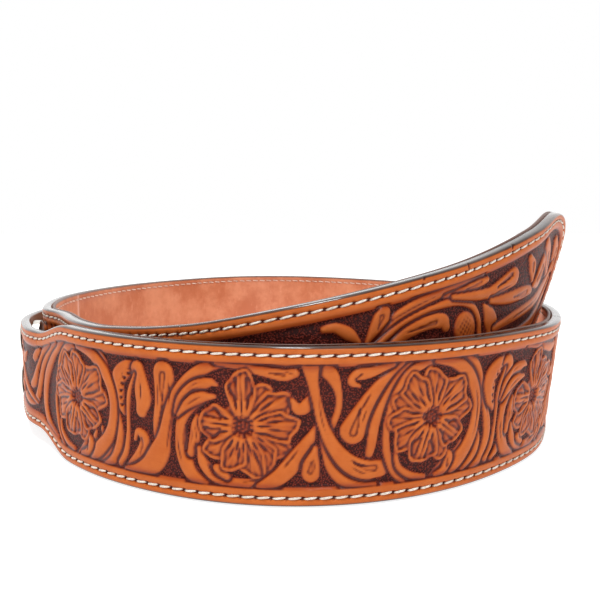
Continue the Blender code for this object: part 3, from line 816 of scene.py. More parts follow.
TIP_CUTS = (
    ((804, 26.4, 0.1), (812, 29.8, 0.2), (822, 32, 0.2), (832, 32.6, 0.1)),
    ((847.5, 27, 0.1), (853.1, 26.8, 0.2), (859.5, 27, 0.1)),
    ((848.6, 28.6, 0.1), (854.2, 28.6, 0.2), (860, 30.6, 0.1)),
    ((860, 21.6, 0.1), (864.6, 20.6, 0.2), (869.3, 19.8, 0.1)),
    ((850.8, 17.2, 0.1), (867, 15.9, 0.2), (885.2, 14.6, 0.1)),
    ((848.6, 12.4, 0.1), (864.6, 10, 0.2), (883, 8.6, 0.1)),
    ((892.6, 17, 0.1), (888.4, 23, 0.2), (884.1, 28.4, 0.1)),
    ((896.6, 19, 0.1), (896.2, 23.4, 0.2), (894.6, 26.6, 0.1)),
    ((876.2, 20.4, 0.1), (881.2, 23, 0.2), (883.7, 26, 0.1)),
)
NUT = (833.6, 21.6, 4.4)
# Cracks in the worn edge
NICKS = (
    ((836.4, 38.4, 0.2), (836.6, 37.2, 0.2), (836.9, 35.6, 0.1)),
    ((858.0, 38.4, 0.3), (857.4, 37.4, 0.2), (856.4, 36.8, 0.1)),
    ((821.4, 38.2, 0.2), (821.0, 37.5, 0.1), (820.4, 36.9, 0.1)),
)


def tool_nut(hide, centre_u, centre_v, radius):
    """The cross-hatched nut in the tip's scroll: a dome with two sets of slanting cuts."""
    hide.blade([(centre_u - 0.1, centre_v, radius), (centre_u + 0.1, centre_v, radius)], 0.5)
    for k in range(-3, 4):
        aside = k * radius / 4
        reach = math.sqrt(radius ** 2 - aside ** 2) * 0.86 * 0.7
        for way in (-1, 1):
            u, v = centre_u + aside * 0.7, centre_v + way * aside * 0.7
            hide.cut([(u - reach, v + way * reach, 0.1), (u + reach, v - way * reach, 0.1)], 0.3)


def tool_flap(hide):
    for rows in NOSE:
        hide.blade(rows)
    for height in SNAP_HEIGHTS:
        columns, away = hide.round_place(SNAP_FROM_END, height, 12)
        hide.stand(columns, SNAP_BED - away, 0.05)


def tool_tip(hide):
    tool_nut(hide, *NUT)
    for tool, table in ((hide.blade, TIP), (hide.cup, TIP_CUPS), (hide.cut, TIP_CUTS)):
        for rows in table:
            tool(rows)
    for rows in NICKS:
        hide.cut(rows, 0.7)


print(len(NOSE), "stems on the flap and", len(TIP), "stems and leaves on the tip")

# %% [markdown]
# A later cut runs over an earlier one, so the order counts: what lies in front is tooled
# last. The groups could be drawn once and copied, but the second repeat is tighter than
# the others and the first rose is longer. A list of groups in their order holds both.

# %% The order of the pattern
REPEAT = 102.0
# In the second repeat the crossing stems and the wild rose come this much sooner, and so
# does all that follows. Where the next repeat would pass LAST_REPEAT_END, three of its
# groups fill the space up to the tip's own drawing.
SOONER = 13.5
LONG_ROSE = 1.2
LAST_REPEAT_END = 700


def pattern_order():
    """Each group's name, its move from the first repeat, and how far it is drawn out."""
    order = [("seed leaf", 0.0), ("seed leaf", REPEAT), ("fork", 0.0), ("wild rose", 0.0),
             ("crossing", 0.0), ("crossing", REPEAT - SOONER), ("rose", 0.0, LONG_ROSE),
             ("rose", REPEAT), ("wild rose", REPEAT - SOONER)]
    by = 2 * REPEAT - SOONER
    while by + REPEAT < LAST_REPEAT_END:
        order += [(name, by) for name in ("seed leaf", "fork", "crossing", "rose", "wild rose")]
        by += REPEAT
    return order + [(name, by) for name in ("seed leaf", "fork", "rose")]


def tool_pattern(hide):
    """The whole pattern, from the flap to the tip, as far as this stretch reaches."""
    hide.sink_ground()
    tool_flap(hide)
    for group in pattern_order():
        tool_group(hide, *group)
    tool_tip(hide)


print(len(pattern_order()), "groups along the belt")


# %% [markdown]
# A row of stitches runs 2 mm inside the edge, all the way round. Each stitch is a short
# pillow of thread between two holes, and the thread lies in a shallow groove so that wear
# doesn't cut it. The row is found once, as a line on the flat leather.

# %% The stitch line
NEEDLE_RADIUS = 0.5
NEEDLE_DEPTH = 0.8
# Half widths and depths of the groove under the thread and of the line round the field
GROOVE = (0.62, 0.24)
FIELD_LINE = (0.32, 0.26)


def stitch_line():
    """Places of the needle holes on the flat leather, in mm, all round the strap."""
    along = np.concatenate([np.linspace(END_TRIM, 12, 80), np.linspace(12.5, END - 39.8, 900),
                            np.linspace(END - 39.3, END, 240)])
    half = strap.half_width(along * MM) / MM
    low = np.column_stack([along, MIDDLE - half])
    high = np.column_stack([along, MIDDLE + half])[::-1]
    outline = np.vstack([low, high, low[:1]])
    path = np.gradient(outline, axis=0)
    path /= np.linalg.norm(path, axis=1)[:, None]
    inner = outline + np.column_stack([-path[:, 1], path[:, 0]]) * STITCH_INSET
    gap, _ = nearest(inner[:, 0], inner[:, 1], outline)
    inner = inner[gap > STITCH_INSET * 0.97]
    lengths = arc_lengths(inner)
    count = int(round(lengths[-1] / STITCH_PITCH))
    places = np.linspace(0, lengths[-1], count + 1)
    return np.column_stack([np.interp(places, lengths, inner[:, k]) for k in range(2)])


needle_holes = stitch_line()
print(len(needle_holes) - 1, "stitches round the strap")


def stitch_groove(hide):
    """The groove under the thread, the border line, and a hole between two stitches."""
    lane = np.clip(1 - (np.abs(hide.inset - STITCH_INSET) / GROOVE[0]) ** 2, 0, 1)
    line = np.clip(1 - np.abs(hide.inset - BORDER + 0.1) / FIELD_LINE[0], 0, 1)
    hide.height -= GROOVE[1] * lane
    hide.height -= FIELD_LINE[1] * line
    for u, v in needle_holes:
        if hide.u[0] - 1 < u < hide.u[-1] + 1:
            hide.pit(u, v, NEEDLE_RADIUS, NEEDLE_DEPTH)


# %% [markdown]
# The tooled leather is made in five stretches, so that the front, which the photograph
# shows, can have the finest grid. Each starts as a grid primitive. Its columns follow the
# strap and its rows go round the section: across the tooled face, over the upper edge,
# down the back and under the lower edge. The last row then merges with the first.

# %% Helpers for building pieces
MERGE = 0.000002


def select_only(piece):
    bpy.ops.object.select_all(action="DESELECT")
    piece.select_set(True)
    bpy.context.view_layer.objects.active = piece


def add_grid(name, columns, rows):
    """A grid primitive, and the column and the row that each of its points is in."""
    bpy.ops.object.select_all(action="DESELECT")
    bpy.ops.mesh.primitive_grid_add(x_subdivisions=columns, y_subdivisions=rows, size=1.0)
    piece = bpy.context.object
    piece.name = piece.data.name = name
    places = np.empty(len(piece.data.vertices) * 3)
    piece.data.vertices.foreach_get("co", places)
    places = places.reshape(-1, 3)
    column = np.rint((places[:, 0] + 0.5) * columns).astype(int)
    row = np.rint((places[:, 1] + 0.5) * rows).astype(int)
    return piece, column, row


def face_outwards(piece):
    select_only(piece)
    bpy.ops.object.mode_set(mode="EDIT")
    bpy.ops.mesh.select_all(action="SELECT")
    bpy.ops.mesh.normals_make_consistent(inside=False)
    bpy.ops.object.mode_set(mode="OBJECT")


def close_tube(piece):
    """Merges the first and the last row, caps both ends and turns the faces outwards."""
    select_only(piece)
    bpy.ops.object.mode_set(mode="EDIT")
    bpy.ops.mesh.select_all(action="SELECT")
    bpy.ops.mesh.remove_doubles(threshold=MERGE)
    bpy.ops.mesh.select_all(action="DESELECT")
    bpy.ops.mesh.select_non_manifold()
    bpy.ops.mesh.edge_face_add()
    bpy.ops.object.mode_set(mode="OBJECT")
    face_outwards(piece)
    bpy.ops.object.shade_smooth()


def write_points(piece, u, v, depth):
    """Carries flat places in mm onto the strap and gives them to the piece."""
    piece.data.vertices.foreach_set("co", strap.place(u * MM, v * MM, depth * MM).ravel())
    piece.data.update()


def write_flat_map(piece, u, v):
    """UV map of the flat leather, in centimetres, so that the grain follows the strap."""
    layer = piece.data.uv_layers[0]
    layer.name = "flat_leather"
    corners = np.empty(len(piece.data.loops), int)
    piece.data.loops.foreach_get("vertex_index", corners)
    layer.data.foreach_set("uv", (np.column_stack([u, v])[corners] / 10).ravel())


def write_mask(piece, name, values):
    mask = piece.data.attributes.new(name, "FLOAT", "POINT")
    mask.data.foreach_set("value", np.clip(values, 0, 1).astype(np.float32))


def skin(name, u, v, depth, map_v, masks):
    """A closed piece from tables of flat places, with one row for each length along it."""
    u = np.repeat(u[:, None], v.shape[1], axis=1)
    piece, column, row = add_grid(name, v.shape[0] - 1, v.shape[1] - 1)
    write_points(piece, u[column, row], v[column, row], depth[column, row])
    write_flat_map(piece, u[column, row], map_v[column, row])
    for mask, values in masks.items():
        write_mask(piece, mask, values[column, row])
    close_tube(piece)
    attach(piece, "root")
    print(name, len(piece.data.polygons), "faces")
    return piece


# %% [markdown]
# Antique stain is wiped over the whole belt and rubbed off again. It stays in the cuts, and
# the rubbing polishes what stands up; the crests are also painted lighter as a highlight.
# A shader can't see how deep a place lies, so masks say it: a height below the mean of its
# surroundings is a hollow, one above is a crest, and a deeply sunk place gets painted shade.

# %% Masks of the stain, the wear and the painted highlight and shade
HOLLOW_NEAR = 0.15
HOLLOW_FAR = 0.9
CREST_HIGH = 0.16
SUNK_FROM = 0.22
SUNK_SLOPE = 0.5
DYED_EDGE = 0.62
DYED_SLOPE = 0.25
# The dark band of painted shade inside the border: its strength, its distance from the border and its width
DARK_BAND = (0.75, 0.4, 0.8)


def blurred(field, passes):
    for _ in range(passes):
        padded = np.pad(field, 1, mode="edge")
        field = (padded[:-2, 1:-1] + padded[2:, 1:-1] + padded[1:-1, :-2] + padded[1:-1, 2:]
                 + 2 * padded[1:-1, 1:-1]) / 6
    return field


def stain_wear_and_painted_light_masks(hide, pitch):
    """Masks of the tooled face, each from 0 to 1."""
    near = max(2, int(round((0.7 / pitch) ** 2 * 1.5)))
    beside = blurred(hide.height, near)
    around = blurred(beside, near * 5)
    # The sunk mask darkens deep places and the band inside the border: painted shade.
    sunk = np.clip((-hide.height - SUNK_FROM) / SUNK_SLOPE, 0, 1)
    strength, distance, width = DARK_BAND
    band = strength * np.exp(-((hide.inset - BORDER - distance) / width) ** 2)
    return {
        "ground": hide.ground,
        "hollow": (beside - hide.height) / HOLLOW_NEAR + (around - hide.height) / HOLLOW_FAR,
        # The crest mask lightens the crests in the finish: polish, and partly a painted highlight.
        "crest": (hide.height - beside) / CREST_HIGH,
        "sunk": np.maximum(sunk, band),
        "edge": (DYED_EDGE - hide.inset) / DYED_SLOPE,
        "flesh": np.zeros_like(hide.v),
    }


# %% [markdown]
# The strap's section is closed with eight more places behind each row of the tooled face.
# They have plain numbers for masks too: the dressed edge is dark, and the flesh side is
# rough and undyed. A Solidify modifier would be shorter, but its inner wall would copy the
# relief of the face, and real leather is flat behind.

# %% The tooled leather
BACK_ROUND = 0.35
ON_EDGE = (1, 0.5, 0, 0, 0, 0.5, 1, 1)
ON_FLESH = (0, 0.7, 1, 1, 1, 0.7, 0, 0)


def leather_stretch(name, start, end, pitch):
    """One closed stretch of tooled leather between two lengths, in mm."""
    hide = Hide(start, end, pitch)
    tool_pattern(hide)
    stitch_groove(hide)
    hide.height = blurred(hide.height, 1)
    roll = np.clip(1 - hide.inset / EDGE_ROUND, 0, 1)
    depth = -hide.height + EDGE_ROUND * (1 - np.sqrt(1 - roll ** 2))

    low, high = hide.v[:, :1], hide.v[:, -1:]
    span = high - low
    back_v = np.hstack([high, high - BACK_ROUND, high - span / 4, high - span / 2, low + span / 4,
                        low + BACK_ROUND, low, low])
    none = np.zeros_like(back_v)
    thick = LEATHER / MM
    rounded = thick - BACK_ROUND
    back_depth = none + np.array([rounded, thick, thick, thick, thick, thick, rounded, EDGE_ROUND])
    way_round = np.cumsum(np.abs(np.diff(np.hstack([high, back_v]), axis=1)) + 0.4, axis=1)

    behind = {"edge": none + np.array(ON_EDGE), "flesh": none + np.array(ON_FLESH)}
    masks = {mask: np.hstack([values, behind.get(mask, none)])
             for mask, values in stain_wear_and_painted_light_masks(hide, pitch).items()}
    piece = skin(name, hide.u, np.hstack([hide.v, back_v]), np.hstack([depth, back_depth]),
                 np.hstack([hide.v, back_v[:, :1] + way_round]), masks)
    return piece


# %% The five stretches
FINE = 1.0
# Name, start, end and pitch of the grid, in mm
STRETCHES = (
    ("tooled_flap", END_TRIM, 74.0, 0.50),
    ("tooled_front", 74.0, 272.0, 0.33),
    ("tooled_back", 272.0, 560.0, 0.52),
    ("tooled_left", 560.0, 755.0, 0.50),
    ("tooled_tip", 755.0, END, 0.33),
)
leather = [leather_stretch(*stretch, pitch * FINE) for *stretch, pitch in STRETCHES]
for piece in leather:
    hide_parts("tooled_strap")

# %% [markdown]
# Stitches are too many to place by hand. One is modelled from a sphere primitive: drawn
# long, flattened, and pinched at both ends where it dives into its holes. Copies of it
# are then laid along the row on the flat leather and carried onto the strap, so that they
# bend with it. They are one mesh, because hundreds of separate objects would be slow.

# %% The stitches
STITCH_LONG = 3.35
STITCH_WIDE = 0.57
STITCH_HIGH = 0.50
STITCH_DIVE = 0.30
THREAD_LEAN = 0.10
SHORTEST = 0.6


def stitch_form():
    """Points and faces of one stitch in mm, along X, with its middle at the origin."""
    bpy.ops.object.select_all(action="DESELECT")
    bpy.ops.mesh.primitive_uv_sphere_add(segments=8, ring_count=8, radius=0.5)
    ball = bpy.context.object
    bpy.ops.object.mode_set(mode="EDIT")
    bpy.ops.mesh.select_all(action="SELECT")
    bpy.ops.transform.rotate(value=math.pi / 2, orient_axis="Y", center_override=(0, 0, 0))
    bpy.ops.object.mode_set(mode="OBJECT")
    points = np.array([vertex.co[:] for vertex in ball.data.vertices])
    faces = [tuple(face.vertices) for face in ball.data.polygons]
    bpy.data.objects.remove(ball)
    x = points[:, 0]
    plump = 0.5 * (1 - (2 * np.abs(x)) ** 4) ** 0.5 / np.sqrt(np.maximum(0.25 - x ** 2, 1e-6))
    shape = np.column_stack([x * STITCH_LONG, points[:, 1] * plump * STITCH_WIDE,
                             points[:, 2] * plump * STITCH_HIGH])
    shape[:, 1] += x * THREAD_LEAN * STITCH_LONG
    shape[:, 2] -= STITCH_DIVE * (2 * np.abs(x)) ** 3
    return shape, faces


def sew(name, holes, base_depth, outside):
    """Stitches between neighbouring holes, joined into one mesh."""
    shape, faces = stitch_form()
    start, end = holes[:-1], holes[1:]
    centre = (start + end) / 2
    way = end - start
    lengths = np.linalg.norm(way, axis=1)
    keep = lengths > STITCH_PITCH * SHORTEST
    centre, way, lengths = centre[keep], way[keep], lengths[keep]
    way /= lengths[:, None]
    x = shape[:, 0][None, :] * (lengths / STITCH_PITCH)[:, None]
    y = np.repeat(shape[:, 1][None, :], len(centre), axis=0)
    u = centre[:, :1] + x * way[:, :1] - y * way[:, 1:]
    v = centre[:, 1:] + x * way[:, 1:] + y * way[:, :1]
    depth = base_depth - shape[:, 2][None, :] * outside + 0 * u
    points = strap.place(u.ravel() * MM, v.ravel() * MM, depth.ravel() * MM)
    step = len(shape)
    every = [tuple(k * step + corner for corner in face) for k in range(len(centre)) for face in faces]
    mesh = bpy.data.meshes.new(name)
    mesh.from_pydata(points.tolist(), [], every)
    piece = bpy.data.objects.new(name, mesh)
    bpy.context.scene.collection.objects.link(piece)
    turned = np.arctan2(shape[:, 2], shape[:, 1]) / (2 * math.pi) + 0.5
    write_mask(piece, "run", np.tile(shape[:, 0] / STITCH_LONG + 0.5, len(centre)))
    write_mask(piece, "round", np.tile(turned, len(centre)))
    face_outwards(piece)
    bpy.ops.object.shade_smooth()
    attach(piece, "root")
    print(name, len(centre), "stitches")
    return piece


# %% Both rows of thread
BACK_FACE = (LEATHER + GLUE_GAP + LINING) / MM
THREAD_DEPTH = 0.10
THREAD_DEPTH_BEHIND = BACK_FACE - 0.02
outer_thread = sew("outer_stitches", needle_holes, THREAD_DEPTH, 1)
lined = needle_holes[:, 0] > strap.lining_start / MM + 1
runs = np.flatnonzero(np.diff(np.concatenate(([0], lined.astype(int), [0]))))
inner_thread = sew("inner_stitches", needle_holes[runs[0]:runs[1]], THREAD_DEPTH_BEHIND, -1)

# %% [markdown]
# The lining is thin smooth leather, glued and stitched to the back. It is the same grid
# laid round a thinner section. The solid behind it is faceted, which shows on the inside
# of the back of the coil, so a smooth lining takes its place. It isn't quite flat: old
# glue and the stitches pull it into soft waves.

# %% The linings
SPLICE = strap.splice / MM
SPLICE_GAP = 0.24
LINING_PITCH = 1.3
LINING_INSET = 0.05
LINING_ROUND = 0.4
WAVE_DEPTH = 0.05
STITCH_PULL = 0.16
# Distances from a lining's ends and from its edges where the grid is finest
FINE_ENDS = np.array([0.3, 0.6, 0.9, 1.3, 1.8, 2.4])
FINE_EDGES = np.array([0.0, 0.05, 0.15, 0.35, 0.8, 1.4, 1.9, 2.15, 2.4, 3.0])


def lining_stretch(name, start, end, node):
    """One closed length of lining, with its waves, its sewn lane and a pale skived end."""
    u = np.linspace(start, end, int((end - start) / (LINING_PITCH * FINE)) + 1)
    u = np.unique(np.concatenate([u, start + FINE_ENDS, end - FINE_ENDS]))
    half = strap.half_width(u * MM)[:, None] / MM - LINING_INSET
    low, high = MIDDLE - half, MIDDLE + half
    inner = low + 4 + np.linspace(0, 1, 23) * (high - low - 8)
    back_v = np.hstack([low + FINE_EDGES, inner, high - FINE_EDGES[::-1]])
    inset = np.minimum(back_v - low, high - back_v)
    along = u[:, None]
    wave = WAVE_DEPTH * np.sin(along * 0.21 + 0.4 * back_v) * np.sin(along * 0.083 + 1.1)
    pull = -STITCH_PULL * np.exp(-((inset - STITCH_INSET) / 0.5) ** 2)
    roll = LINING_ROUND * (1 - np.sqrt(1 - np.clip(1 - inset / LINING_ROUND, 0, 1) ** 2))
    depth = BACK_FACE + wave * np.clip(inset / 3, 0, 1) + pull - roll

    v = np.hstack([back_v, high, (low + high) / 2, low, low])
    face = np.full((len(u), 3), (LEATHER + GLUE_GAP) / MM)
    pale = 1.6 - np.abs(along - SPLICE - 0.9) / 0.9
    masks = {
        "edge": np.hstack([(0.5 - inset) / 0.3, np.ones((len(u), 4))]),
        "hollow": np.hstack([np.exp(-((inset - STITCH_INSET) / 0.7) ** 2), np.zeros((len(u), 4))]),
        "skive": np.repeat(pale, v.shape[1], axis=1),
    }
    piece = skin(name, u, v, np.hstack([depth, face, depth[:, :1]]), v, masks)
    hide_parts(node)
    return piece


linings = [
    lining_stretch("smooth_body_lining", strap.lining_start / MM, SPLICE - SPLICE_GAP / 2, "body_lining"),
    lining_stretch("smooth_tip_lining", SPLICE + SPLICE_GAP / 2, END, "tip_lining"),
]

# %% [markdown]
# Five round holes for a buckle's tongue go through the tip and its lining. A punch makes
# them in real leather, and a Boolean modifier does the same here. The punch is a cylinder
# primitive for each hole, bent onto the strap like everything else, and joined into one.

# %% Punch the tongue holes
TONGUE_HOLES = 5
TONGUE_RADIUS = 2.2
TONGUE_PITCH = 25.4
FIRST_TONGUE_HOLE = 108.0
PUNCH_LONG = 9.0
PUNCH_DEPTH = 2.0


def punch_form(places):
    """Cylinders across the strap at lengths along it, as one mesh object."""
    made = []
    for along in places:
        bpy.ops.object.select_all(action="DESELECT")
        bpy.ops.mesh.primitive_cylinder_add(vertices=36, radius=TONGUE_RADIUS, depth=PUNCH_LONG)
        rod = bpy.context.object
        x, y, z = np.array([vertex.co[:] for vertex in rod.data.vertices]).T
        write_points(rod, along + x, MIDDLE + y, PUNCH_DEPTH + z)
        made.append(rod)
    bpy.ops.object.select_all(action="DESELECT")
    for rod in made:
        rod.select_set(True)
    bpy.context.view_layer.objects.active = made[0]
    bpy.ops.object.join()
    punch = made[0]
    punch.data.uv_layers[0].name = "flat_leather"
    face_outwards(punch)
    write_mask(punch, "edge", np.ones(len(punch.data.vertices)))
    return punch


def punch_through(piece, punch):
    select_only(piece)
    cut = piece.modifiers.new("tongue_holes", "BOOLEAN")
    cut.operation = "DIFFERENCE"
    cut.solver = "EXACT"
    cut.object = punch
    bpy.ops.object.modifier_apply(modifier=cut.name)
    print(piece.name, "punched,", len(piece.data.polygons), "faces")


first_hole = strap.length / MM - FIRST_TONGUE_HOLE
punch = punch_form([first_hole - k * TONGUE_PITCH for k in range(TONGUE_HOLES)])
for piece in (leather[3], leather[4], linings[1]):
    punch_through(piece, punch)
bpy.data.objects.remove(punch)

# %% [markdown]
# Leather isn't one colour. Where the tools left it standing it is orange tan, antique
# stain stays in each cut, and the stamped ground is nearly black-red with shiny grains.
# Nodes could be linked one by one. Here a small class wraps a socket, so that the maths
# of a finish reads as Python expressions, and each expression adds its own Math node.

# %% Node maths as expressions
class Value:
    """A shader socket that can be added, multiplied and so on."""

    def __init__(self, nodes, socket):
        self.nodes = nodes
        self.socket = socket

    def math(self, operation, first, second):
        return self.nodes.node("ShaderNodeMath", {"operation": operation}, {0: first, 1: second})

    def __add__(self, other):
        return self.math("ADD", self, other)

    __radd__ = __add__

    def __sub__(self, other):
        return self.math("SUBTRACT", self, other)

    def __rsub__(self, other):
        return self.math("SUBTRACT", other, self)

    def __mul__(self, other):
        return self.math("MULTIPLY", self, other)

    __rmul__ = __mul__

    def __pow__(self, other):
        return self.math("POWER", self, other)

    def sine(self):
        return self.nodes.node("ShaderNodeMath", {"operation": "SINE"}, {0: self})

    def clamp(self):
        return self.nodes.node("ShaderNodeClamp", {}, {"Value": self})

    def ramp(self, low, high):
        """0 below low, 1 above high, smooth between."""
        return self.nodes.node("ShaderNodeMapRange", {"interpolation_type": "SMOOTHSTEP"},
                               {"Value": self, "From Min": low, "From Max": high})


class Nodes:
    """A node tree that nodes are added to."""

    def __init__(self, tree):
        self.tree = tree

    def node(self, kind, settings, sockets, out=0):
        """Adds a node: its settings first, then the values or links of its sockets."""
        made = self.tree.nodes.new(kind)
        for key, value in settings.items():
            setattr(made, key, value)
        for key, value in sockets.items():
            self.feed(made.inputs[key], value)
        return Value(self, made.outputs[out])

    def feed(self, socket, value):
        if isinstance(value, Value):
            self.tree.links.new(value.socket, socket)
        else:
            socket.default_value = value


class Finish(Nodes):
    """A material and the few kinds of pattern that it needs."""

    def __init__(self, name):
        self.material = bpy.data.materials.new(name)
        self.material.use_nodes = True
        super().__init__(self.material.node_tree)
        self.shader = self.tree.nodes["Principled BSDF"]

    def mask(self, name):
        return self.node("ShaderNodeAttribute", {"attribute_name": name}, {}, out=2)

    def flat(self, stretch=(1.0, 1.0, 1.0)):
        """Places on the flat leather, in centimetres."""
        places = self.node("ShaderNodeUVMap", {"uv_map": "flat_leather"}, {})
        return self.node("ShaderNodeMapping", {}, {"Vector": places, "Scale": stretch})

    def space(self):
        """Places in the piece's own metres."""
        return self.node("ShaderNodeTexCoord", {}, {}, out=3)

    def noise(self, places, scale, detail, roughness):
        return self.node("ShaderNodeTexNoise", {}, {"Vector": places, "Scale": scale,
                                                    "Detail": detail, "Roughness": roughness})

    def cells(self, places, scale, smooth):
        return self.node("ShaderNodeTexVoronoi", {"feature": "SMOOTH_F1"},
                         {"Vector": places, "Scale": scale, "Smoothness": smooth})

    def mix(self, factor, first, second):
        """Colour between two colours."""
        return self.node("ShaderNodeMix", {"data_type": "RGBA"}, {0: factor, 6: first, 7: second}, out=2)

    def bump(self, height, distance, strength, **below):
        """Relief too fine for the mesh, on top of another relief if one is given as Normal."""
        return self.node("ShaderNodeBump", {}, {"Height": height, "Distance": distance,
                                                "Strength": strength, **below})

    def set(self, **values):
        for name, value in values.items():
            self.feed(self.shader.inputs[name.replace("_", " ")], value)
        return self.material


def colour(red, green, blue):
    return (red, green, blue, 1.0)


# %% [markdown]
# The finish is built up as in the workshop: a dyed skin with clouds and streaks, polish and a
# painted highlight on the crests, painted shade on the deeply sunk places, stain in the hollows,
# then a dark dye on the matted ground and along the edge.
# The ground's grains are cells of a Voronoi texture, both in colour and as bump, because a
# matting stamp leaves small close beads. Wax gathers in the cuts and shines on the edge.

# %% The finish of the tooled leather
DYED = (colour(0.455, 0.096, 0.015), colour(0.535, 0.132, 0.026))
STREAK = colour(0.37, 0.062, 0.011)
POLISH_AND_PAINTED_HIGHLIGHT = colour(0.60, 0.170, 0.040)
SHADED = colour(0.25, 0.024, 0.006)
ANTIQUE_STAIN = colour(0.080, 0.009, 0.005)
MATTED = (colour(0.190, 0.027, 0.015), colour(0.036, 0.005, 0.004))
FLESH_SIDE = (colour(0.33, 0.135, 0.062), colour(0.46, 0.21, 0.105))
EDGE_DRESSING = (colour(0.022, 0.011, 0.008), colour(0.050, 0.022, 0.014))
GRAIN_HIGH = 0.00026
PORE_HIGH = 0.00005


def tooled_finish():
    finish = Finish("antiqued_tooled_leather")
    ground, hollow, crest, sunk, edge, flesh = (
        finish.mask(name) for name in ("ground", "hollow", "crest", "sunk", "edge", "flesh"))
    flat = finish.flat()
    clouds = finish.noise(flat, 1.1, 4.0, 0.6)
    pores = finish.noise(flat, 26.0, 3.0, 0.6)
    streaks = finish.noise(finish.flat((2.0, 9.0, 1.0)), 1.6, 3.0, 0.5)
    grains = finish.cells(flat, 20.0, 0.15)
    tan = finish.mix(clouds.ramp(0.30, 0.75), *DYED)
    tan = finish.mix(streaks.ramp(0.52, 0.80) * 0.35, tan, STREAK)
    # Crests painted lighter: real polish, and partly a painted highlight.
    tan = finish.mix(crest * 0.4, tan, POLISH_AND_PAINTED_HIGHLIGHT)
    # Painted shade: deep places and the band inside the border are darkened towards SHADED.
    tan = finish.mix(sunk * 0.9, tan, SHADED)
    stain = (hollow * 1.25 + pores.ramp(0.55, 0.85) * hollow * 0.4).clamp()
    tan = finish.mix(stain ** 0.8, tan, ANTIQUE_STAIN)
    matted = finish.mix(grains.ramp(0.22, 0.62), *MATTED)
    face = finish.mix(ground.ramp(0.25, 0.8), tan, matted)
    both = finish.mix(flesh, face, finish.mix(pores.ramp(0.3, 0.7), *FLESH_SIDE))
    dressed = finish.mix(edge, both, finish.mix(clouds.ramp(0.4, 0.7), *EDGE_DRESSING))
    rough = 0.33 + 0.12 * clouds + 0.12 * ground - 0.06 * crest + 0.45 * flesh * (1 - edge)
    pebbles = finish.bump((1 - grains.ramp(0.0, 0.6)) * ground.ramp(0.3, 0.9), GRAIN_HIGH, 1.0)
    fine = finish.bump(pores * (1 - ground * 0.6) + streaks * 0.5, PORE_HIGH, 0.8, Normal=pebbles)
    glaze = (0.18 * hollow + 0.30 * sunk) * (1 - ground) * pores.ramp(0.35, 0.6)
    wax = (0.03 + glaze + 0.03 * ground + 0.8 * edge).clamp() * (1 - flesh)
    return finish.set(Base_Color=dressed, Roughness=rough, Normal=fine, Coat_Weight=wax,
                      Coat_Roughness=0.12, Specular_IOR_Level=0.10)


leather_finish = tooled_finish()
for piece in leather:
    piece.data.materials.append(leather_finish)
print(len(leather_finish.node_tree.nodes), "nodes in the tooled leather's finish")

# %% [markdown]
# The lining was never tooled, so it needs only clouds, scuffs and pores. It is pale where
# its end was pared thin at the splice, and dark along its dressed edge.

# %% The finish of the lining
RUSSET = (colour(0.50, 0.140, 0.055), colour(0.67, 0.250, 0.125))
SCUFFED = colour(0.76, 0.33, 0.19)
PARED = colour(0.78, 0.42, 0.31)
STITCH_LANE_DARK = colour(0.34, 0.075, 0.03)
LINING_EDGE = colour(0.045, 0.020, 0.014)


def lining_finish():
    finish = Finish("smooth_russet_lining")
    edge, hollow, skive = (finish.mask(name) for name in ("edge", "hollow", "skive"))
    flat = finish.flat()
    clouds = finish.noise(flat, 0.55, 5.0, 0.62)
    pores = finish.noise(flat, 30.0, 3.0, 0.6)
    scuffs = finish.noise(finish.flat((1.4, 0.7, 1.0)), 2.2, 4.0, 0.65)
    russet = finish.mix(clouds.ramp(0.36, 0.66), *RUSSET)
    russet = finish.mix(scuffs.ramp(0.54, 0.80) * 0.6, russet, SCUFFED)
    russet = finish.mix(skive * 0.8, russet, PARED)
    # Darker along the sewn lane of the stitches.
    russet = finish.mix(hollow * 0.25, russet, STITCH_LANE_DARK)
    russet = finish.mix(edge * 0.9, russet, LINING_EDGE)
    fine = finish.bump(pores + clouds * 0.6, 0.00006, 0.8)
    return finish.set(Base_Color=russet, Roughness=0.42 + 0.16 * clouds, Normal=fine, Coat_Weight=0.12,
                      Coat_Roughness=0.35)


for piece in linings:
    piece.data.materials.append(lining_finish())
print("finished", ", ".join(piece.name for piece in linings))

# %% [markdown]
# Thread is two plies twisted together. The twist is a sine that runs along a stitch and
# round it, as bump. The ends are darker where they go into the leather, and the row on the
# lining is rubbed and takes up its colour.

# %% The finish of the thread
THREADS = (
    (outer_thread, "cream_thread", colour(0.80, 0.74, 0.66), colour(0.64, 0.54, 0.44)),
    (inner_thread, "rubbed_thread", colour(0.76, 0.55, 0.44), colour(0.62, 0.34, 0.24)),
)
THREAD_END_DARK = colour(0.17, 0.06, 0.025)
TWISTS_ALONG = 3.0
PLIES = 2.0


def thread_finish(name, clean, worn):
    finish = Finish(name)
    run, about = finish.mask("run"), finish.mask("round")
    soiled = finish.noise(finish.space(), 260.0, 3.0, 0.6)
    ends = (run * (1 - run) * 4.0).clamp()
    thread = finish.mix(soiled.ramp(0.35, 0.75), clean, worn)
    # Darker towards both ends of each stitch, where it goes into its holes.
    thread = finish.mix((1 - ends.ramp(0.05, 0.40)) * 0.75, thread, THREAD_END_DARK)
    twist = ((run * TWISTS_ALONG + about * PLIES) * (2 * math.pi)).sine()
    return finish.set(Base_Color=thread, Roughness=0.62 + 0.1 * soiled,
                      Normal=finish.bump(twist, 0.00012, 0.7))


for piece, name, clean, worn in THREADS:
    piece.data.materials.append(thread_finish(name, clean, worn))
    print(piece.name, "in", name)

# %% [markdown]
# The snaps are the solids' own. They are small and half hidden, so nickel plate with
# smudges and fine scratches is all that they need.

# %% The finish of the snaps
PLATE = (colour(0.66, 0.63, 0.58), colour(0.42, 0.38, 0.33))


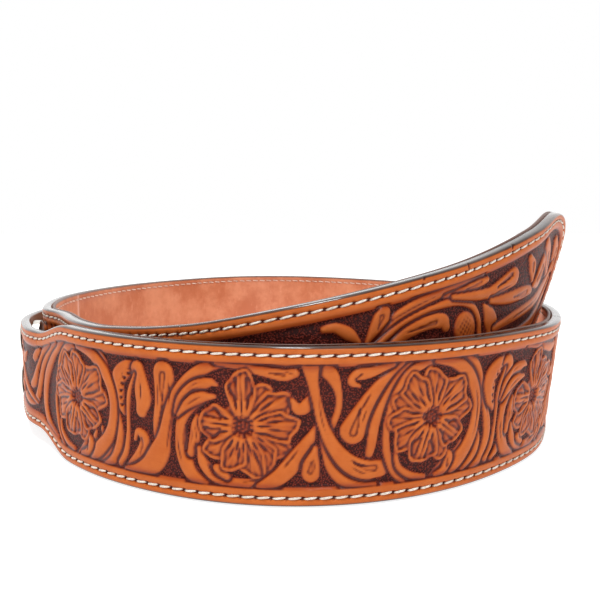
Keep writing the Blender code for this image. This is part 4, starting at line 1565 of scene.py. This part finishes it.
def nickel_finish():
    finish = Finish("worn_nickel_plate")
    smudge = finish.noise(finish.space(), 420.0, 4.0, 0.6)
    fine = finish.noise(finish.space(), 2600.0, 2.0, 0.5)
    return finish.set(Base_Color=finish.mix(smudge.ramp(0.45, 0.8), *PLATE), Metallic=1.0,
                      Roughness=0.20 + 0.22 * smudge, Normal=finish.bump(fine, 0.00002, 0.4))


nickel = nickel_finish()
for name in ("flap_snap_upper", "flap_snap_lower", "body_stud_upper", "body_stud_lower"):
    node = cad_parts[name]
    node.data.materials.clear()
    node.data.materials.append(nickel)

# %% [markdown]
# The belt was photographed on a white sheet under soft light, from a little above. A plain
# plane is the sheet, and it glows a little so that it stays white under the belt's shadow.
# One round lamp hangs over the front and a weak one fills in from the camera's side.

# %% Sheet and lamps
SHEET_LOW = -0.0003
SHEET_GREY = 0.50
SHEET_GLOW = 0.80
LAMP_AIM = (0, 0, 0.03)


def add_area(name, place, aim, size, power):
    bpy.ops.object.light_add(type="AREA", location=place)
    lamp = bpy.context.object
    lamp.name = name
    lamp.data.shape = "DISK"
    lamp.data.size = size
    lamp.data.energy = power
    direction = np.array(aim) - np.array(place)
    level = math.hypot(direction[0], direction[1])
    lamp.rotation_euler = (math.pi / 2 + math.atan2(direction[2], level), 0.0,
                           math.atan2(-direction[0], direction[1]))
    return lamp


bpy.ops.object.select_all(action="DESELECT")
bpy.ops.mesh.primitive_plane_add(size=6.0, location=(0, 0, SHEET_LOW))
sheet = bpy.context.object
sheet.name = "white_sheet"
paper = Finish("white_paper")
sheet.data.materials.append(paper.set(
    Base_Color=colour(SHEET_GREY, SHEET_GREY, SHEET_GREY), Roughness=0.9, Specular_IOR_Level=0.1,
    Emission_Color=colour(1.0, 1.0, 1.0), Emission_Strength=SHEET_GLOW))
lamps = [
    add_area("top_light", (-0.10, -0.42, 1.05), LAMP_AIM, 0.30, 10.2),
    add_area("front_light", (0.25, -1.05, 0.45), LAMP_AIM, 0.4, 2.4),
]
print("staged", sheet.name, "and", len(lamps), "lamps")

# %% [markdown]
# The room is the world. It is dim in front and bright behind, which gives the leather that
# turns away its pale sheen. The camera itself sees plain white in every direction, as in
# the photograph.

# %% The room
ROOM_FRONT = 0.17
ROOM_BACK = 1.4
BRIGHT_WAY = (0, 0.9, 0.43)

world = bpy.data.worlds.new("white_room")
world.use_nodes = True
room = Nodes(world.node_tree)
way = room.node("ShaderNodeTexCoord", {}, {}, out=0)
facing = room.node("ShaderNodeVectorMath", {"operation": "DOT_PRODUCT"}, {0: way, 1: BRIGHT_WAY}, out=1)
glow = ROOM_FRONT + (ROOM_BACK - ROOM_FRONT) * facing.ramp(-0.2, 0.9)
seen = room.node("ShaderNodeLightPath", {}, {})
backdrop = world.node_tree.nodes["Background"]
room.feed(backdrop.inputs["Color"], colour(1.0, 1.0, 1.0))
room.feed(backdrop.inputs["Strength"], glow * (1 - seen) + seen)
bpy.context.scene.world = world
bpy.context.scene.view_settings.view_transform = "Standard"
bpy.context.scene.view_settings.exposure = 0.0
print("room from", ROOM_FRONT, "in front to", ROOM_BACK, "behind")

# %% [markdown]
# The stitches are evenly spaced, so their spacing in the photograph tells how far away the
# camera stood and how it looked. Those numbers place this one. It moves with the strap.

# %% Camera
CAMERA_PLACE = (0.004 + strap.shift[0], -0.2895 + strap.shift[1], 0.0672)
CAMERA_DOWN = math.radians(5.92)
LENS = 47.36
SENSOR = 36.0

bpy.ops.object.camera_add(location=CAMERA_PLACE, rotation=(math.pi / 2 - CAMERA_DOWN, 0.0, 0.0))
camera = bpy.context.object
camera.data.lens = LENS
camera.data.sensor_width = SENSOR
camera.data.clip_start = 0.01
bpy.context.scene.camera = camera
print("camera at", np.round(CAMERA_PLACE, 4))
